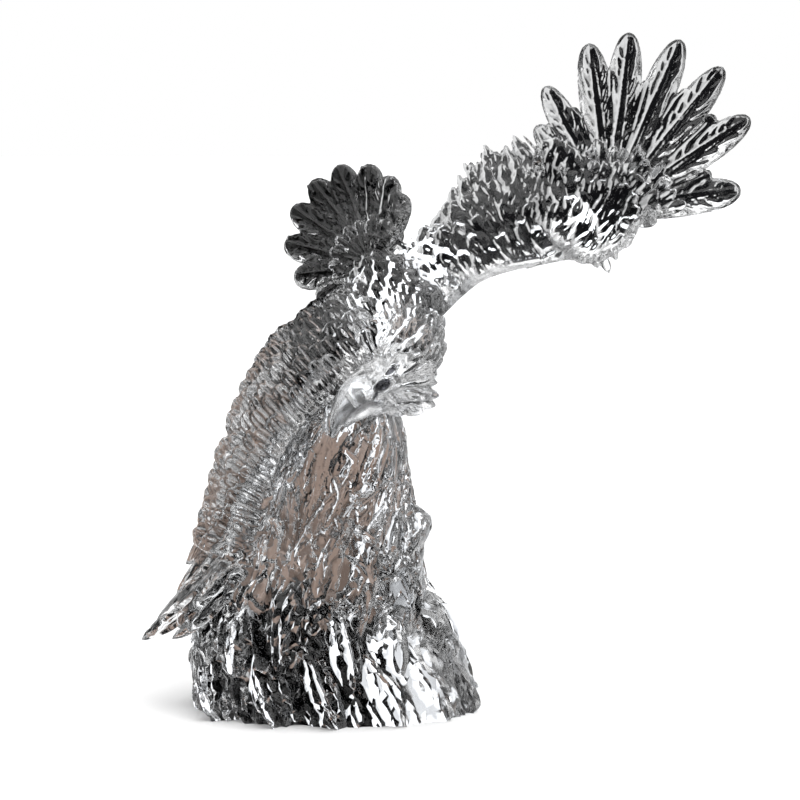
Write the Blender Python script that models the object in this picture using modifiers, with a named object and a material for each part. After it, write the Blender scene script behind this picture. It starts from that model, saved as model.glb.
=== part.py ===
"""Crystal eagle swooping over a column of rock, cast as one clear piece.

Lengths are metres and +Z is up. The origin is the centre of the flat underside. The front of the
ornament looks along -Y, the raised left wing reaches out to +X and the right wing hangs towards -X.
Every feather, rock strand and limb is a closed form warped from a ball; together they are fused
into one skin, thinned to a light faceted solid and cut flat underneath.
"""

from math import acos, atan2, cos, pi, radians, sin, sqrt

import bmesh
import bpy
from mathutils import Vector

MM = 0.001
NAME = "eagle_on_rock"
TRIANGLES = 9300
FUSE_GRAIN = 1.25 * MM
THINNED_GROUP = "thinned"
THINNING_BIAS = 0.008
HEAD_THINNING = 0.001
HEAD_ROOM = 30 * MM


def at(x, y, z):
    """Point given in millimetres."""
    return Vector((x, y, z)) * MM


HEAD_MIDDLE = at(15, -50, 174)
EYE = at(24, -56, 176)
EYE_INWARD = Vector((0.1, 1, 0))
EYE_RADIUS = 5.5 * MM
EYE_DEPTH = 4.5 * MM

# Left wing, raised: front edge and feather-tip edge from the shoulder to the wrist.
LEFT_LEAD = [
    at(40, -10, 193),
    at(60, -14, 215),
    at(76, -17, 227.5),
    at(95, -19, 233),
    at(113, -21, 236.5),
    at(131, -21, 240.5),
]
LEFT_TRAIL = [
    at(31, 18, 239),
    at(53, 19, 261),
    at(63, 20, 277),
    at(73, 20, 290),
    at(86, 18, 297),
    at(99, 14, 298),
]
# Right wing, lowered along the rock.
RIGHT_LEAD = [
    at(26, -14, 195),
    at(6, -22, 178),
    at(-9, -26, 166),
    at(-24, -28, 149),
    at(-35, -30, 126),
    at(-40, -30, 103),
    at(-46, -28, 83),
]
RIGHT_TRAIL = [
    at(8, 19, 226),
    at(-20, 21, 206),
    at(-38, 21, 190),
    at(-48, 19, 170),
    at(-57, 16, 144),
    at(-66, 13, 118),
    at(-74, 6, 90),
]
ARM_HALF_THICKNESS = 6.5 * MM
WING_CORE_SHARE = 0.82
WING_TIP_THICKNESS = 1.3 * MM

# Rows of feathers on an arm: root share and tip share of the chord, count, half thickness.
ARM_ROWS = [
    (0.30, 1.00, 11, 2.0 * MM),
    (0.24, 0.76, 12, 1.7 * MM),
    (0.12, 0.54, 13, 1.6 * MM),
    (-0.01, 0.32, 13, 1.6 * MM),
]

# Spread hand of the left wing.
HAND = at(139, -11, 259.5)
HAND_SLOPE = (-0.12, 0.30)
HAND_ANGLES = [128, 115, 95, 82, 66.5, 51, 33.5, 10.5]
HAND_REACH = 98.5 * MM
HAND_PEAK_ANGLE = 64
HAND_FALL = (99, 99)
PRIMARY_WIDTH = 10.8 * MM

# Spread tail.
TAIL = at(19, 17, 233)
TAIL_SLOPE = (-0.50, 0.49)
TAIL_ANGLES = [68, 80, 94, 111, 128, 147, 168, 190, 212]
TAIL_REACH = 55.5 * MM
TAIL_PEAK_ANGLE = 114
TAIL_FALL = (88, 165)
TAIL_WIDTH = 8.6 * MM

# Long end feathers of the right wing: root, tip, half width.
RIGHT_TIP_FEATHERS = [
    (at(-44, -28, 95), at(-104, -13, 38), 8.5 * MM),
    (at(-50, -20, 99), at(-97, -8, 45), 7.5 * MM),
    (at(-54, -12, 103), at(-85, -3, 61), 7.0 * MM),
    (at(-58, -4, 111), at(-80, 2, 75), 7.0 * MM),
    (at(-48, -30, 79), at(-86, -20, 40), 6.0 * MM),
]

# Body from the tail root to the skull: centre, half width, half depth.
BODY = [
    (at(14, 24, 241), 10, 7),
    (at(19, 17, 231), 15, 11),
    (at(25, 10, 219), 19, 14),
    (at(32, 2, 208), 20, 17),
    (at(37, -10, 197), 17.5, 18),
    (at(38, -24, 189), 15, 16),
    (at(31, -36, 182), 12.5, 13),
    (at(22, -44, 178), 11, 11),
]

# Spine of the web that joins the lowered wing to the rock.
WEB = [
    at(4, -2, 180),
    at(-12, -6, 160),
    at(-24, -9, 136),
    at(-36, -10, 110),
    at(-44, -9, 84),
    at(-50, -6, 60),
]
WING_STRANDS = 4

# Legs: hip, knee, foot.
LEGS = [
    (at(24, 14, 203), at(16, 16, 181), at(4, 12, 155)),
    (at(36, 10, 200), at(28, 12, 179), at(20, 10, 153)),
]
LEG_RADII = [10 * MM, 8 * MM, 4 * MM]

# Beak and lower bill: spine, half widths, half depths.
BEAK = [at(15, -48, 175), at(8.5, -50, 170), at(2.5, -52, 161.5), at(-1, -53, 149.5)]
BEAK_WIDTHS = [9 * MM, 7.5 * MM, 4.6 * MM, 1.2 * MM]
BEAK_DEPTHS = [8 * MM, 6.5 * MM, 4.5 * MM, 1.2 * MM]
BILL = [at(18, -48, 167), at(10, -50, 162), at(4, -51, 156)]
BILL_WIDTHS = [5.5 * MM, 4.5 * MM, 2 * MM]
BILL_DEPTHS = [6 * MM, 4.5 * MM, 2 * MM]
THROAT_TIPS = [at(49, -33, 171), at(50, -34, 166), at(45, -37, 161.5), at(38, -40, 161)]

# Rock: height, centre x, centre y, half width, half depth.
ROCK = [
    (-8, 3, 0, 73, 45),
    (6, 0, 0, 71, 45),
    (22, -10, 0, 61, 44),
    (38, -16, 0, 57, 43),
    (52, -15, 0, 51, 41),
    (68, -10, 0, 44, 38),
    (90, -5, 0, 37, 33),
    (118, 0, 0, 34, 30),
    (138, 7, -2, 27, 27),
    (154, 11, 0, 16, 20),
    (172, 14, 4, 10, 14),
    (196, 22, 8, 9, 11),
]

# Rings of rock blades: count, root height, tip height, root swell, tip swell, share of the flow,
# scatter, half width, half thickness, sharpness of the tip, seed.
ROCK_RINGS = [
    (26, -8, 32, 0.97, 1.01, 0.0, 0.05, 9.0, 5.5, 0.6, 11),
    (19, 12, 56, 0.92, 1.15, 0.2, 0.22, 7.0, 4.5, 0.9, 29),
    (13, 22, 66, 0.92, 1.20, -0.2, 0.25, 6.0, 4.0, 0.9, 37),
    (15, 34, 94, 0.94, 1.09, 0.5, 0.08, 7.5, 5.5, 0.9, 47),
    (14, 62, 122, 0.95, 1.07, 1.0, 0.08, 7.5, 5.5, 0.8, 71),
    (12, 96, 148, 0.95, 1.06, 1.0, 0.08, 6.5, 5.0, 0.8, 97),
    (9, 122, 164, 0.93, 1.06, 0.8, 0.08, 5.5, 4.5, 0.8, 131),
]
FLOW_TURN = radians(35)


def spline(values, share):
    """Smooth curve through the values (numbers or points), read at a share of its length."""
    spans = len(values) - 1
    place = min(max(share, 0.0), 1.0) * spans
    i = min(int(place), spans - 1)
    f = place - i
    a = values[max(i - 1, 0)]
    b = values[i]
    c = values[i + 1]
    d = values[min(i + 2, spans)]
    square = a * 2 - b * 5 + c * 4 - d
    cube = b * 3 - a - c * 3 + d
    return (b * 2 + (c - a) * f + square * f**2 + cube * f**3) * 0.5


def noise(number):
    """Repeatable value from -1 to 1 for a whole number."""
    return 2.0 * ((sin(number * 12.9898) * 43758.5453) % 1.0) - 1.0


def warped_ball(form, rings, sides, place):
    """Adds a closed ball and puts each of its points at place(station, angle)."""
    ball = bmesh.new()
    bmesh.ops.create_uvsphere(ball, u_segments=sides, v_segments=rings, radius=1.0)
    for vertex in ball.verts:
        height = min(max(vertex.co.z, -1.0), 1.0)
        even = acos(-height) / pi
        station = 0.5 * (even + (1.0 + height) / 2.0)
        vertex.co = place(station, atan2(vertex.co.y, vertex.co.x))
    mesh = bpy.data.meshes.new("ball")
    ball.to_mesh(mesh)
    ball.free()
    form.from_mesh(mesh)
    bpy.data.meshes.remove(mesh)


def vane(station, root, shoulder, sharpness):
    """Half-width share along a blade: rounded root, swelling middle, rounded or pointed tip."""
    rise = min(station / shoulder, 1.0)
    share = root + (1.0 - root) * sin(rise * pi / 2.0)
    if station < 0.1:
        share *= sqrt(max(0.0, 1.0 - (1.0 - station / 0.1) ** 2))
    if station > shoulder:
        share *= max(0.0, 1.0 - ((station - shoulder) / (1.0 - shoulder)) ** 2) ** sharpness
    return share


def blade(form, root, tip, face, half_width, half_thick, base=0.55, shoulder=0.72, sharpness=0.5,
          sweep=0.0, lift=0.0, camber=0.12, rings=10, sides=8):
    """Adds a feather or shard from root to tip, its broad side looking along face."""
    reach = tip - root
    length = reach.length
    along = reach / length
    side = along.cross(face).normalized()
    out = side.cross(along)

    def place(station, angle):
        bow = sin(pi * station)
        middle = root + reach * station + side * (sweep * length * bow) + out * (lift * length * bow)
        share = vane(station, base, shoulder, sharpness)
        across = cos(angle)
        drop = camber * half_width * across * across * share
        rise = half_thick * sqrt(share) * sin(angle) - drop
        return middle + side * (half_width * share * across) + out * rise

    warped_ball(form, rings, sides, place)


def limb(form, centres, widths, depths, face, rings=16, sides=12, blunt=0.06):
    """Adds a smooth tube along the centres, its width across face and its depth along face."""
    step = 0.01

    def place(station, angle):
        middle = spline(centres, station)
        along = (spline(centres, station + step) - spline(centres, station - step)).normalized()
        side = along.cross(face).normalized()
        out = side.cross(along)
        end = min(station, 1.0 - station) / blunt
        cap = sqrt(max(0.0, 1.0 - (1.0 - min(end, 1.0)) ** 2))
        across = spline(widths, station) * cap * cos(angle)
        return middle + side * across + out * (spline(depths, station) * cap * sin(angle))

    warped_ball(form, rings, sides, place)


def lump(form, centre, along, face, radii, rings=8, sides=12):
    """Adds an egg with its three radii along, across and towards face."""
    axis = along.normalized()
    side = axis.cross(face).normalized()
    out = side.cross(axis)

    def place(station, angle):
        level = 2.0 * station - 1.0
        ring = sqrt(max(0.0, 1.0 - level * level))
        middle = centre + axis * (radii[0] * level)
        return middle + side * (radii[1] * ring * cos(angle)) + out * (radii[2] * ring * sin(angle))

    warped_ball(form, rings, sides, place)


class Wing:
    """Sheet between a front edge and a feather-tip edge, with its back (dorsal) side towards face."""

    def __init__(self, lead, trail, turn):
        self.lead = lead
        self.trail = trail
        self.turn = turn

    def normal(self, u):
        step = 0.02
        span = spline(self.lead, u + step) - spline(self.lead, u - step)
        chord = spline(self.trail, u) - spline(self.lead, u)
        return span.cross(chord).normalized() * self.turn

    def half_thickness(self, u, v):
        share = min(max(v / WING_CORE_SHARE, 0.0), 1.0)
        swell = 2.0 * sqrt(share * (1.0 - share)) * (1.0 - 0.62 * share)
        return max(ARM_HALF_THICKNESS * (1.25 - 0.35 * u) * swell, WING_TIP_THICKNESS)

    def point(self, u, v, height):
        chord = spline(self.trail, u) - spline(self.lead, u)
        arch = 0.10 * chord.length * 4.0 * v * (1.0 - v)
        return spline(self.lead, u) + chord * v + self.normal(u) * (arch + height)

    def add_core(self, form):
        """The arm itself, a thick front edge thinning towards the feather tips."""

        def place(station, angle):
            u = station
            v = WING_CORE_SHARE * (1.0 - cos(angle)) / 2.0
            share = v / WING_CORE_SHARE
            half = ARM_HALF_THICKNESS * (1.25 - 0.35 * u) * sin(angle) * (1.0 - 0.62 * share)
            end = min(station, 1.0 - station) / 0.05
            cap = sqrt(max(0.0, 1.0 - (1.0 - min(end, 1.0)) ** 2))
            mid = WING_CORE_SHARE / 2.0
            return self.point(u, mid + (v - mid) * cap, half * cap)

        warped_ball(form, 16, 16, place)

    def add_row(self, form, root_v, tip_v, count, half_thick, side, stagger):
        """One row of overlapping feathers on the back (side 1) or the underside (side -1)."""
        pitch = 1.0 / count
        for i in range(count + 1):
            u = min(max((i + stagger) * pitch, 0.0), 1.0)
            vary = noise(i * 7 + count + int(10 * tip_v))
            tip_share = tip_v * (1.0 + 0.03 * vary)
            span = spline(self.trail, u + pitch) - spline(self.trail, u - pitch)
            width = span.length * (0.33 if root_v > 0.05 else 0.30)
            root = self.point(u, root_v, side * self.half_thickness(u, root_v) * 0.7)
            outer = tip_v >= 1.0
            rise = side * (0.3 * MM if outer else self.half_thickness(u, tip_v) + 0.9 * MM)
            tip = self.point(u, tip_share, rise)
            blade(form, root, tip, self.normal(u) * side, width, half_thick, base=0.6, shoulder=0.7,
                  sweep=0.02 * vary, lift=0.02)


def fan_point(centre, slope, angle, reach):
    """Point of a fan that leans in depth, by its angle and reach as seen from the front."""
    dx = reach * cos(radians(angle))
    dz = reach * sin(radians(angle))
    return centre + Vector((dx, slope[0] * dx + slope[1] * dz, dz))


def fan_face(slope):
    return Vector((slope[0], -1.0, slope[1])).normalized()


def fan_reach(full, angle, peak, falls):
    """Length of a fan's feather, full at the peak angle and falling off on each side of it."""
    fall = falls[0] if angle < peak else falls[1]
    return full * (1.0 - ((angle - peak) / fall) ** 2)


def add_left_hand(form):
    """Eight spread finger feathers, their coverts on both sides, the wrist and the thumb feathers."""
    face = fan_face(HAND_SLOPE)
    for i, angle in enumerate(HAND_ANGLES):
        reach = fan_reach(HAND_REACH, angle, HAND_PEAK_ANGLE, HAND_FALL)
        root = fan_point(HAND, HAND_SLOPE, angle, 0.06 * reach)
        tip = fan_point(HAND, HAND_SLOPE, angle, reach) + face * (3.0 * MM)
        width = PRIMARY_WIDTH * (0.85 if i < 2 else 1.0)
        blade(form, root, tip, face, width, 2.3 * MM, base=0.30, shoulder=0.66, sharpness=0.45,
              sweep=0.03 * (angle - 70) / 60, lift=-0.05, rings=14, sides=10)
        for side in (1, -1):
            covert_root = root + face * (side * 2.5 * MM)
            covert_tip = fan_point(HAND, HAND_SLOPE, angle + 5, 0.50 * reach) + face * (side * 3.4 * MM)
            blade(form, covert_root, covert_tip, face * side, 0.62 * width, 1.7 * MM, base=0.6)
    for side in (1, -1):
        for i in range(9):
            angle = 150 - 20 * i
            root = fan_point(HAND, HAND_SLOPE, angle, 2 * MM) + face * (side * 4.5 * MM)
            tip = fan_point(HAND, HAND_SLOPE, angle, 27 * MM) + face * (side * 4.6 * MM)
            blade(form, root, tip, face * side, 5.6 * MM, 1.7 * MM)
    lump(form, HAND + at(-3, 0, -6), Vector((1, 0, 0.5)), face, (21 * MM, 16 * MM, 6.5 * MM))
    lump(form, HAND + at(-22, 8, 14), Vector((-0.6, 0.2, 1)), face, (24 * MM, 12 * MM, 4.5 * MM))
    lump(form, at(124, -16, 252), Vector((-0.35, 0.2, 1)), face, (18 * MM, 11 * MM, 8 * MM))
    blade(form, HAND + at(-6, -1, -14), at(140, -19, 230.5), face, 5.0 * MM, 3.5 * MM, base=0.8)
    blade(form, HAND + at(2, -1, -4), at(148, -14, 247), face, 4.2 * MM, 3.2 * MM, base=0.8)


def add_tail(form):
    """Fan of broad rounded tail feathers with short coverts on both sides of its root."""
    face = fan_face(TAIL_SLOPE)
    for angle in TAIL_ANGLES:
        reach = fan_reach(TAIL_REACH, angle, TAIL_PEAK_ANGLE, TAIL_FALL)
        root = fan_point(TAIL, TAIL_SLOPE, angle, -0.05 * reach)
        tip = fan_point(TAIL, TAIL_SLOPE, angle, reach)
        blade(form, root, tip, face, TAIL_WIDTH, 2.2 * MM, base=0.35, shoulder=0.74, sharpness=0.5,
              lift=-0.05, rings=12, sides=10)
    for side in (1, -1):
        for i in range(7):
            angle = 60 + 23 * i
            root = fan_point(TAIL, TAIL_SLOPE, angle, -3 * MM) + face * (side * 3 * MM)
            tip = fan_point(TAIL, TAIL_SLOPE, angle, 21 * MM) + face * (side * 3 * MM)
            blade(form, root, tip, face * side, 5.0 * MM, 1.8 * MM)


def add_body(form):
    """Back, breast and neck as one tube, with rows of neck feathers and the two legs."""
    centres = [row[0] for row in BODY]
    widths = [row[1] * MM for row in BODY]
    depths = [row[2] * MM for row in BODY]
    back = Vector((-0.56, -0.64, 0.51)).normalized()
    limb(form, centres, widths, depths, back, rings=24, sides=16)
    for row in range(6):
        share = 0.93 - 0.12 * row
        for i in range(9):
            angle = radians(i * 40 + 20 * (row % 2))
            middle = spline(centres, share)
            along = (spline(centres, share - 0.02) - middle).normalized()
            side = along.cross(back).normalized()
            out = (side * cos(angle) + side.cross(along) * sin(angle)).normalized()
            root = middle + out * (spline(widths, share) * 0.86)
            tip_share = share - 0.20
            tip = spline(centres, tip_share) + out * (spline(widths, tip_share) * 1.0 + 1.6 * MM)
            blade(form, root, tip, out, 4.6 * MM, 2.0 * MM, base=0.6, shoulder=0.5, sharpness=0.9)
    for leg in LEGS:
        limb(form, leg, LEG_RADII, LEG_RADII, Vector((1, 0, 0)), rings=10, sides=10)


def add_head(form):
    """Head turned to its right: skull, hooked beak, lower bill, brow, eye and throat feathers."""
    face = Vector((0, -1, 0))
    lump(form, at(19, -46, 177), Vector((-0.85, 0, -0.5)), face, (16 * MM, 12.5 * MM, 11 * MM))
    limb(form, BEAK, BEAK_WIDTHS, BEAK_DEPTHS, face, rings=12, sides=12)
    limb(form, BILL, BILL_WIDTHS, BILL_DEPTHS, face, rings=8, sides=10)
    lump(form, at(37, -39, 172), Vector((1, 0, 0)), face, (13 * MM, 9.5 * MM, 10 * MM))
    lump(form, at(41, -33, 180), Vector((1, 0, 0)), face, (10 * MM, 13 * MM, 12 * MM))
    brow = Vector((-0.4, -1, 0.4))
    blade(form, at(13, -54, 176), at(35, -45, 187), brow, 3.6 * MM, 3.2 * MM, base=0.7)
    for i, tip in enumerate(THROAT_TIPS):
        root = at(24 + 3 * i, -44 + i, 181 - 2 * i)
        blade(form, root, tip, face, 5.2 * MM, 3.6 * MM, base=0.8, shoulder=0.55, sharpness=0.8)


def rock_point(height, turn, swell):
    """Point on the rock column at a height, a turn round it and a share of its radius."""
    heights = [row[0] * MM for row in ROCK]
    top = len(heights) - 1
    i = max(k for k in range(top) if heights[k] <= max(height, heights[0]))
    share = (i + min((height - heights[i]) / (heights[i + 1] - heights[i]), 1.0)) / top
    x, y, width, depth = (spline([row[k] * MM for row in ROCK], share) for k in (1, 2, 3, 4))
    return Vector((x + width * swell * cos(turn), y + depth * swell * sin(turn), height))


def flow(turn):
    """Sideways lean of the rock's strands, strongest on the front right of the column."""
    return 0.08 + 0.55 * max(0.0, cos(turn + FLOW_TURN))


def add_ring(form, ring):
    """Ring of pointed rock blades standing against the column."""
    count, root_z, tip_z, root_swell, tip_swell, flowing, scatter, *shape = ring
    half_width, half_thick, sharpness, seed = shape
    for i in range(count):
        turn = 2.0 * pi * i / count + 0.10 * noise(seed + i)
        vary = noise(seed * 3 + i * 5)
        root = rock_point(root_z * MM, turn, root_swell)
        height = (tip_z + 0.20 * (tip_z - root_z) * vary) * MM
        tip_turn = turn + flowing * flow(turn) + scatter * noise(seed + 3 * i)
        tip = rock_point(height, tip_turn, tip_swell + 0.04 * noise(seed + 9 * i))
        face = Vector((cos(turn), sin(turn), 0.15))
        width = half_width * MM * (1 + 0.25 * vary)
        blade(form, root, tip, face, width, half_thick * MM, base=0.75, shoulder=0.45,
              sharpness=sharpness, sweep=0.06 * vary, lift=0.05)


def add_web(form):
    """Solid crystal and strands that tie the underside of the lowered wing to the rock."""
    outward = Vector((-0.5, -0.8, 0.3))
    limb(form, WEB, [10 * MM, 14 * MM], [9 * MM, 14 * MM], outward, rings=14, sides=12)
    for i in range(WING_STRANDS):
        offset = at(4 + 6.5 * i, 3 - i, -5 - i)
        start = 0.14 + 0.04 * i
        strand = [spline(RIGHT_LEAD, start + 0.12 * k) + offset for k in range(8)]
        radii = [3.5 * MM, 5 * MM, 3.5 * MM]
        limb(form, strand, radii, radii, Vector((-0.3, -1, 0.2)), rings=16, sides=8)


def add_rock(form):
    """Rock column with a pleated foot, a ring of flame-like shards and tall strands above."""
    middles = [at(row[1], row[2], row[0]) for row in ROCK]
    widths = [row[3] * MM for row in ROCK]
    depths = [row[4] * MM for row in ROCK]
    limb(form, middles, widths, depths, Vector((0, -1, 0)), rings=36, sides=28, blunt=0.02)
    for ring in ROCK_RINGS:
        add_ring(form, ring)
    knob_face = Vector((0.7, -0.7, 0.2))
    blade(form, at(34, -12, 78), at(46, -8, 104), knob_face, 6 * MM, 5 * MM, base=0.8)


def add_wings(form):
    """Both arms with their feather rows, and the long end feathers of the lowered wing."""
    for wing in (Wing(LEFT_LEAD, LEFT_TRAIL, 1), Wing(RIGHT_LEAD, RIGHT_TRAIL, -1)):
        wing.add_core(form)
        for row, (root_v, tip_v, count, half_thick) in enumerate(ARM_ROWS):
            for side in ((1,) if row == 0 else (1, -1)):
                wing.add_row(form, root_v, tip_v, count, half_thick, side, 0.5 * (row % 2))
    outward = Vector((-0.65, -0.6, 0.45))
    for root, tip, half_width in RIGHT_TIP_FEATHERS:
        blade(form, root, tip, outward, half_width, 2.6 * MM, base=0.7, shoulder=0.5,
              sharpness=0.75, sweep=-0.06, rings=14, sides=10)


def spare_head(piece):
    """Marks the head so that thinning keeps more of its faces than of the rest."""
    group = piece.vertex_groups.new(name=THINNED_GROUP)
    for vertex in piece.data.vertices:
        on_head = (vertex.co - HEAD_MIDDLE).length < HEAD_ROOM
        group.add([vertex.index], HEAD_THINNING if on_head else 1.0, "REPLACE")


def fused_mesh(name, form):
    """Fuses the overlapping forms into one skin, thins it and cuts it flat at the underside."""
    mesh = bpy.data.meshes.new(name)
    form.to_mesh(mesh)
    form.free()
    source = bpy.data.objects.new(name, mesh)
    bpy.context.scene.collection.objects.link(source)
    skin = source.modifiers.new("Fuse", "REMESH")
    skin.mode = "VOXEL"
    skin.voxel_size = FUSE_GRAIN
    bpy.context.view_layer.update()
    skinned = source.evaluated_get(bpy.context.evaluated_depsgraph_get())
    whole = bpy.data.meshes.new_from_object(skinned)
    source.modifiers.clear()
    press(whole, EYE, EYE_INWARD, EYE_RADIUS, EYE_DEPTH)
    source.data = whole
    spare_head(source)
    thin = source.modifiers.new("Thin", "DECIMATE")
    thin.ratio = TRIANGLES / (2.0 * len(whole.polygons))
    thin.vertex_group = THINNED_GROUP
    thin.vertex_group_factor = THINNING_BIAS
    bpy.context.view_layer.update()
    thinned = source.evaluated_get(bpy.context.evaluated_depsgraph_get())
    light = bpy.data.meshes.new_from_object(thinned)
    bpy.data.objects.remove(source)
    return flat_bottomed(light)


def flat_bottomed(mesh):
    """Cuts everything below the underside away and closes the cut with a flat face."""
    form = bmesh.new()
    form.from_mesh(mesh)
    everything = form.verts[:] + form.edges[:] + form.faces[:]
    bmesh.ops.bisect_plane(form, geom=everything, dist=1e-6, plane_no=(0, 0, 1), clear_inner=True)
    rim = [edge for edge in form.edges if edge.is_boundary]
    bmesh.ops.holes_fill(form, edges=rim, sides=0)
    bmesh.ops.triangulate(form, faces=form.faces[:])
    bmesh.ops.recalc_face_normals(form, faces=form.faces[:])
    form.to_mesh(mesh)
    form.free()
    return mesh


def press(mesh, middle, inward, radius, depth):
    """Presses a rounded hollow into the skin around a point."""
    for vertex in mesh.vertices:
        near = (vertex.co - middle).length / radius
        if near < 1.0:
            vertex.co = vertex.co + inward * (depth * (1.0 - near * near) ** 2)


def crystal():
    """Clear, colourless, polished crystal."""
    material = bpy.data.materials.new("clear_crystal")
    material.use_nodes = True
    shader = material.node_tree.nodes["Principled BSDF"]
    shader.inputs["Base Color"].default_value = (0.93, 0.94, 0.95, 1.0)
    shader.inputs["Roughness"].default_value = 0.03
    shader.inputs["Metallic"].default_value = 0.0
    shader.inputs["Transmission Weight"].default_value = 1.0
    shader.inputs["IOR"].default_value = 1.52
    return material


def build():
    """Clears the scene and makes the one cast piece."""
    for old in list(bpy.data.objects):
        bpy.data.objects.remove(old)
    form = bmesh.new()
    add_rock(form)
    add_web(form)
    add_body(form)
    add_head(form)
    add_wings(form)
    add_left_hand(form)
    add_tail(form)
    collection = bpy.data.collections.new("crystal_eagle_figurine")
    bpy.context.scene.collection.children.link(collection)
    eagle = bpy.data.objects.new(NAME, fused_mesh(NAME, form))
    eagle.data.materials.append(crystal())
    collection.objects.link(eagle)


build()
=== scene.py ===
"""Looks of the crystal eagle figurine: the clear casting, its polished finish and the studio round it.

Lengths are metres and +Z is up. The origin is the centre of the flat underside, the front looks along
-Y, the raised left wing reaches out to +X and the lowered right wing to -X. The casting is one piece:
closed feathers, limbs and rock shards are heaped in a mould, fused into one skin, cut with clefts and
facets, thinned, cut flat underneath and drawn in to stay inside the solid's box.
"""

import logging
from dataclasses import dataclass, field
from enum import Enum
from math import acos, atan2, cos, degrees, pi, radians, sin, sqrt
from typing import Callable, List, Sequence, Tuple, TypeVar, Union

import bmesh
import bpy
import numpy as np
from mathutils import Matrix, Vector
from mathutils.bvhtree import BVHTree


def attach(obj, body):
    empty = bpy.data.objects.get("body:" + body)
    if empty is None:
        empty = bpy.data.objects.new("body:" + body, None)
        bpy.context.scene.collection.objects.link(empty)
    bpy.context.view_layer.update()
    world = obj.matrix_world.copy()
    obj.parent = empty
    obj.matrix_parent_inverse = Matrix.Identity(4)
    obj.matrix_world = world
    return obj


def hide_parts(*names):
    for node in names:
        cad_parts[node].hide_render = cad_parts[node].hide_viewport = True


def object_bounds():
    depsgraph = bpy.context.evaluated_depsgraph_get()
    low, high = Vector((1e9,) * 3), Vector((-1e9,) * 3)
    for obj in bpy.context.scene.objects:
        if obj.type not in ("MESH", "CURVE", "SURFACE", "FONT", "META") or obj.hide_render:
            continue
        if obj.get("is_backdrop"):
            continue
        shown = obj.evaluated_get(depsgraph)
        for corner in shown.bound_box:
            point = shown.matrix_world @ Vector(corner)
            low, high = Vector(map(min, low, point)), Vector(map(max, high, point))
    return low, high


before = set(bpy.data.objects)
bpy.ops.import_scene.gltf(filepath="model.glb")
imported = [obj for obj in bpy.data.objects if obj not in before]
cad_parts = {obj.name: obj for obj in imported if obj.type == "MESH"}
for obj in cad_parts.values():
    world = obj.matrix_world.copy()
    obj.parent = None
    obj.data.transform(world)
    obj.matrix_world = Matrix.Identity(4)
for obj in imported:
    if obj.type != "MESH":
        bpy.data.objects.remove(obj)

LOG = logging.getLogger("crystal_eagle")
MM = 0.001
NODE = "eagle_on_rock"
SLOT = "clear_crystal"
SATIN = "satin"
# Mesh attribute that marks painted shade: a near-black base colour in the eye hollows and grooves of the
# clear crystal.
PAINTED_SHADE = "painted_shade"

UP = Vector((0, 0, 1))
RIGHT = Vector((1, 0, 0))
FRONT = Vector((0, -1, 0))
WHITE = (0.9, 0.92, 0.95, 1.0)
BROWN = (0.36, 0.27, 0.225, 1.0)
BLACK = (0.0, 0.0, 0.0, 1.0)

Row = Tuple[float, ...]
Colour = Tuple[float, float, float, float]
Value = TypeVar("Value", float, Vector)
# Point of a form and its offset from the form's middle, for a station along it and an angle round it.
Place = Callable[[float, float], Tuple[Vector, float]]


def at(x: float, y: float, z: float) -> Vector:
    """Point given in millimetres."""
    return Vector((x, y, z)) * MM


def mm(*lengths: float) -> Tuple[float, ...]:
    """Lengths given in millimetres."""
    return tuple(length * MM for length in lengths)


def outward(turn: float, rise: float) -> Vector:
    """Direction away from the upright axis at a turn round it, leaning up by rise."""
    return Vector((cos(turn), sin(turn), rise))


def side_and_out(along: Vector, face: Vector) -> Tuple[Vector, Vector]:
    """Two directions square to along: sideways, and out towards face."""
    side = along.cross(face).normalized()
    return side, side.cross(along)


def rounded(share: float) -> float:
    """Width share of a round end: 0 at the very end, 1 where share reaches 1."""
    return sqrt(max(0.0, 1.0 - (1.0 - min(share, 1.0)) ** 2))


def spline(values: Sequence[Value], share: float) -> Value:
    """Reads a smooth curve through the values at a share of its length.

    Args:
        values: numbers or points that the curve passes through, evenly spaced.
        share: place along the curve, 0 at its start and 1 at its end.

    Returns:
        The number or point there.
    """
    spans = len(values) - 1
    place = min(max(share, 0.0), 1.0) * spans
    i = min(int(place), spans - 1)
    f = place - i
    a = values[max(i - 1, 0)]
    b = values[i]
    c = values[i + 1]
    d = values[min(i + 2, spans)]
    square = a * 2 - b * 5 + c * 4 - d
    cube = b * 3 - a - c * 3 + d
    return (b * 2 + (c - a) * f + square * f**2 + cube * f**3) * 0.5


def noise(number: float) -> float:
    """Repeatable value from -1 to 1 for a number."""
    return 2.0 * ((sin(number * 12.9898) * 43758.5453) % 1.0) - 1.0


def lot(cells: np.ndarray, salt: int) -> np.ndarray:
    """Repeatable value from 0 to 1 for each row of whole numbers."""
    keys = cells * np.array((73856093, 19349663, 83492791)) + salt * 2654435
    mixed = (keys[:, 0] ^ keys[:, 1] ^ keys[:, 2]) & 0xFFFFFF
    mixed = (mixed * 2246822519 ^ (mixed >> 9) * 3266489917) & 0xFFFFFF
    return (mixed / float(0xFFFFFF)).astype(np.float32)


def cloud(points: np.ndarray, size: float) -> np.ndarray:
    """Smooth repeatable noise.

    Args:
        points: places, one a row.
        size: distance over which the noise changes.

    Returns:
        A value from 0 to 1 for each place.
    """
    cells = np.floor(points / size).astype(np.int64)
    inside = (points / size - cells).astype(np.float32)
    ease = inside * inside * (3.0 - 2.0 * inside)
    total = np.zeros(len(points), np.float32)
    for corner in np.ndindex(2, 2, 2):
        weight = np.ones(len(points), np.float32)
        for axis in range(3):
            weight *= ease[:, axis] if corner[axis] else 1.0 - ease[:, axis]
        total += weight * lot(cells + corner, 1)
    return total


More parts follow.
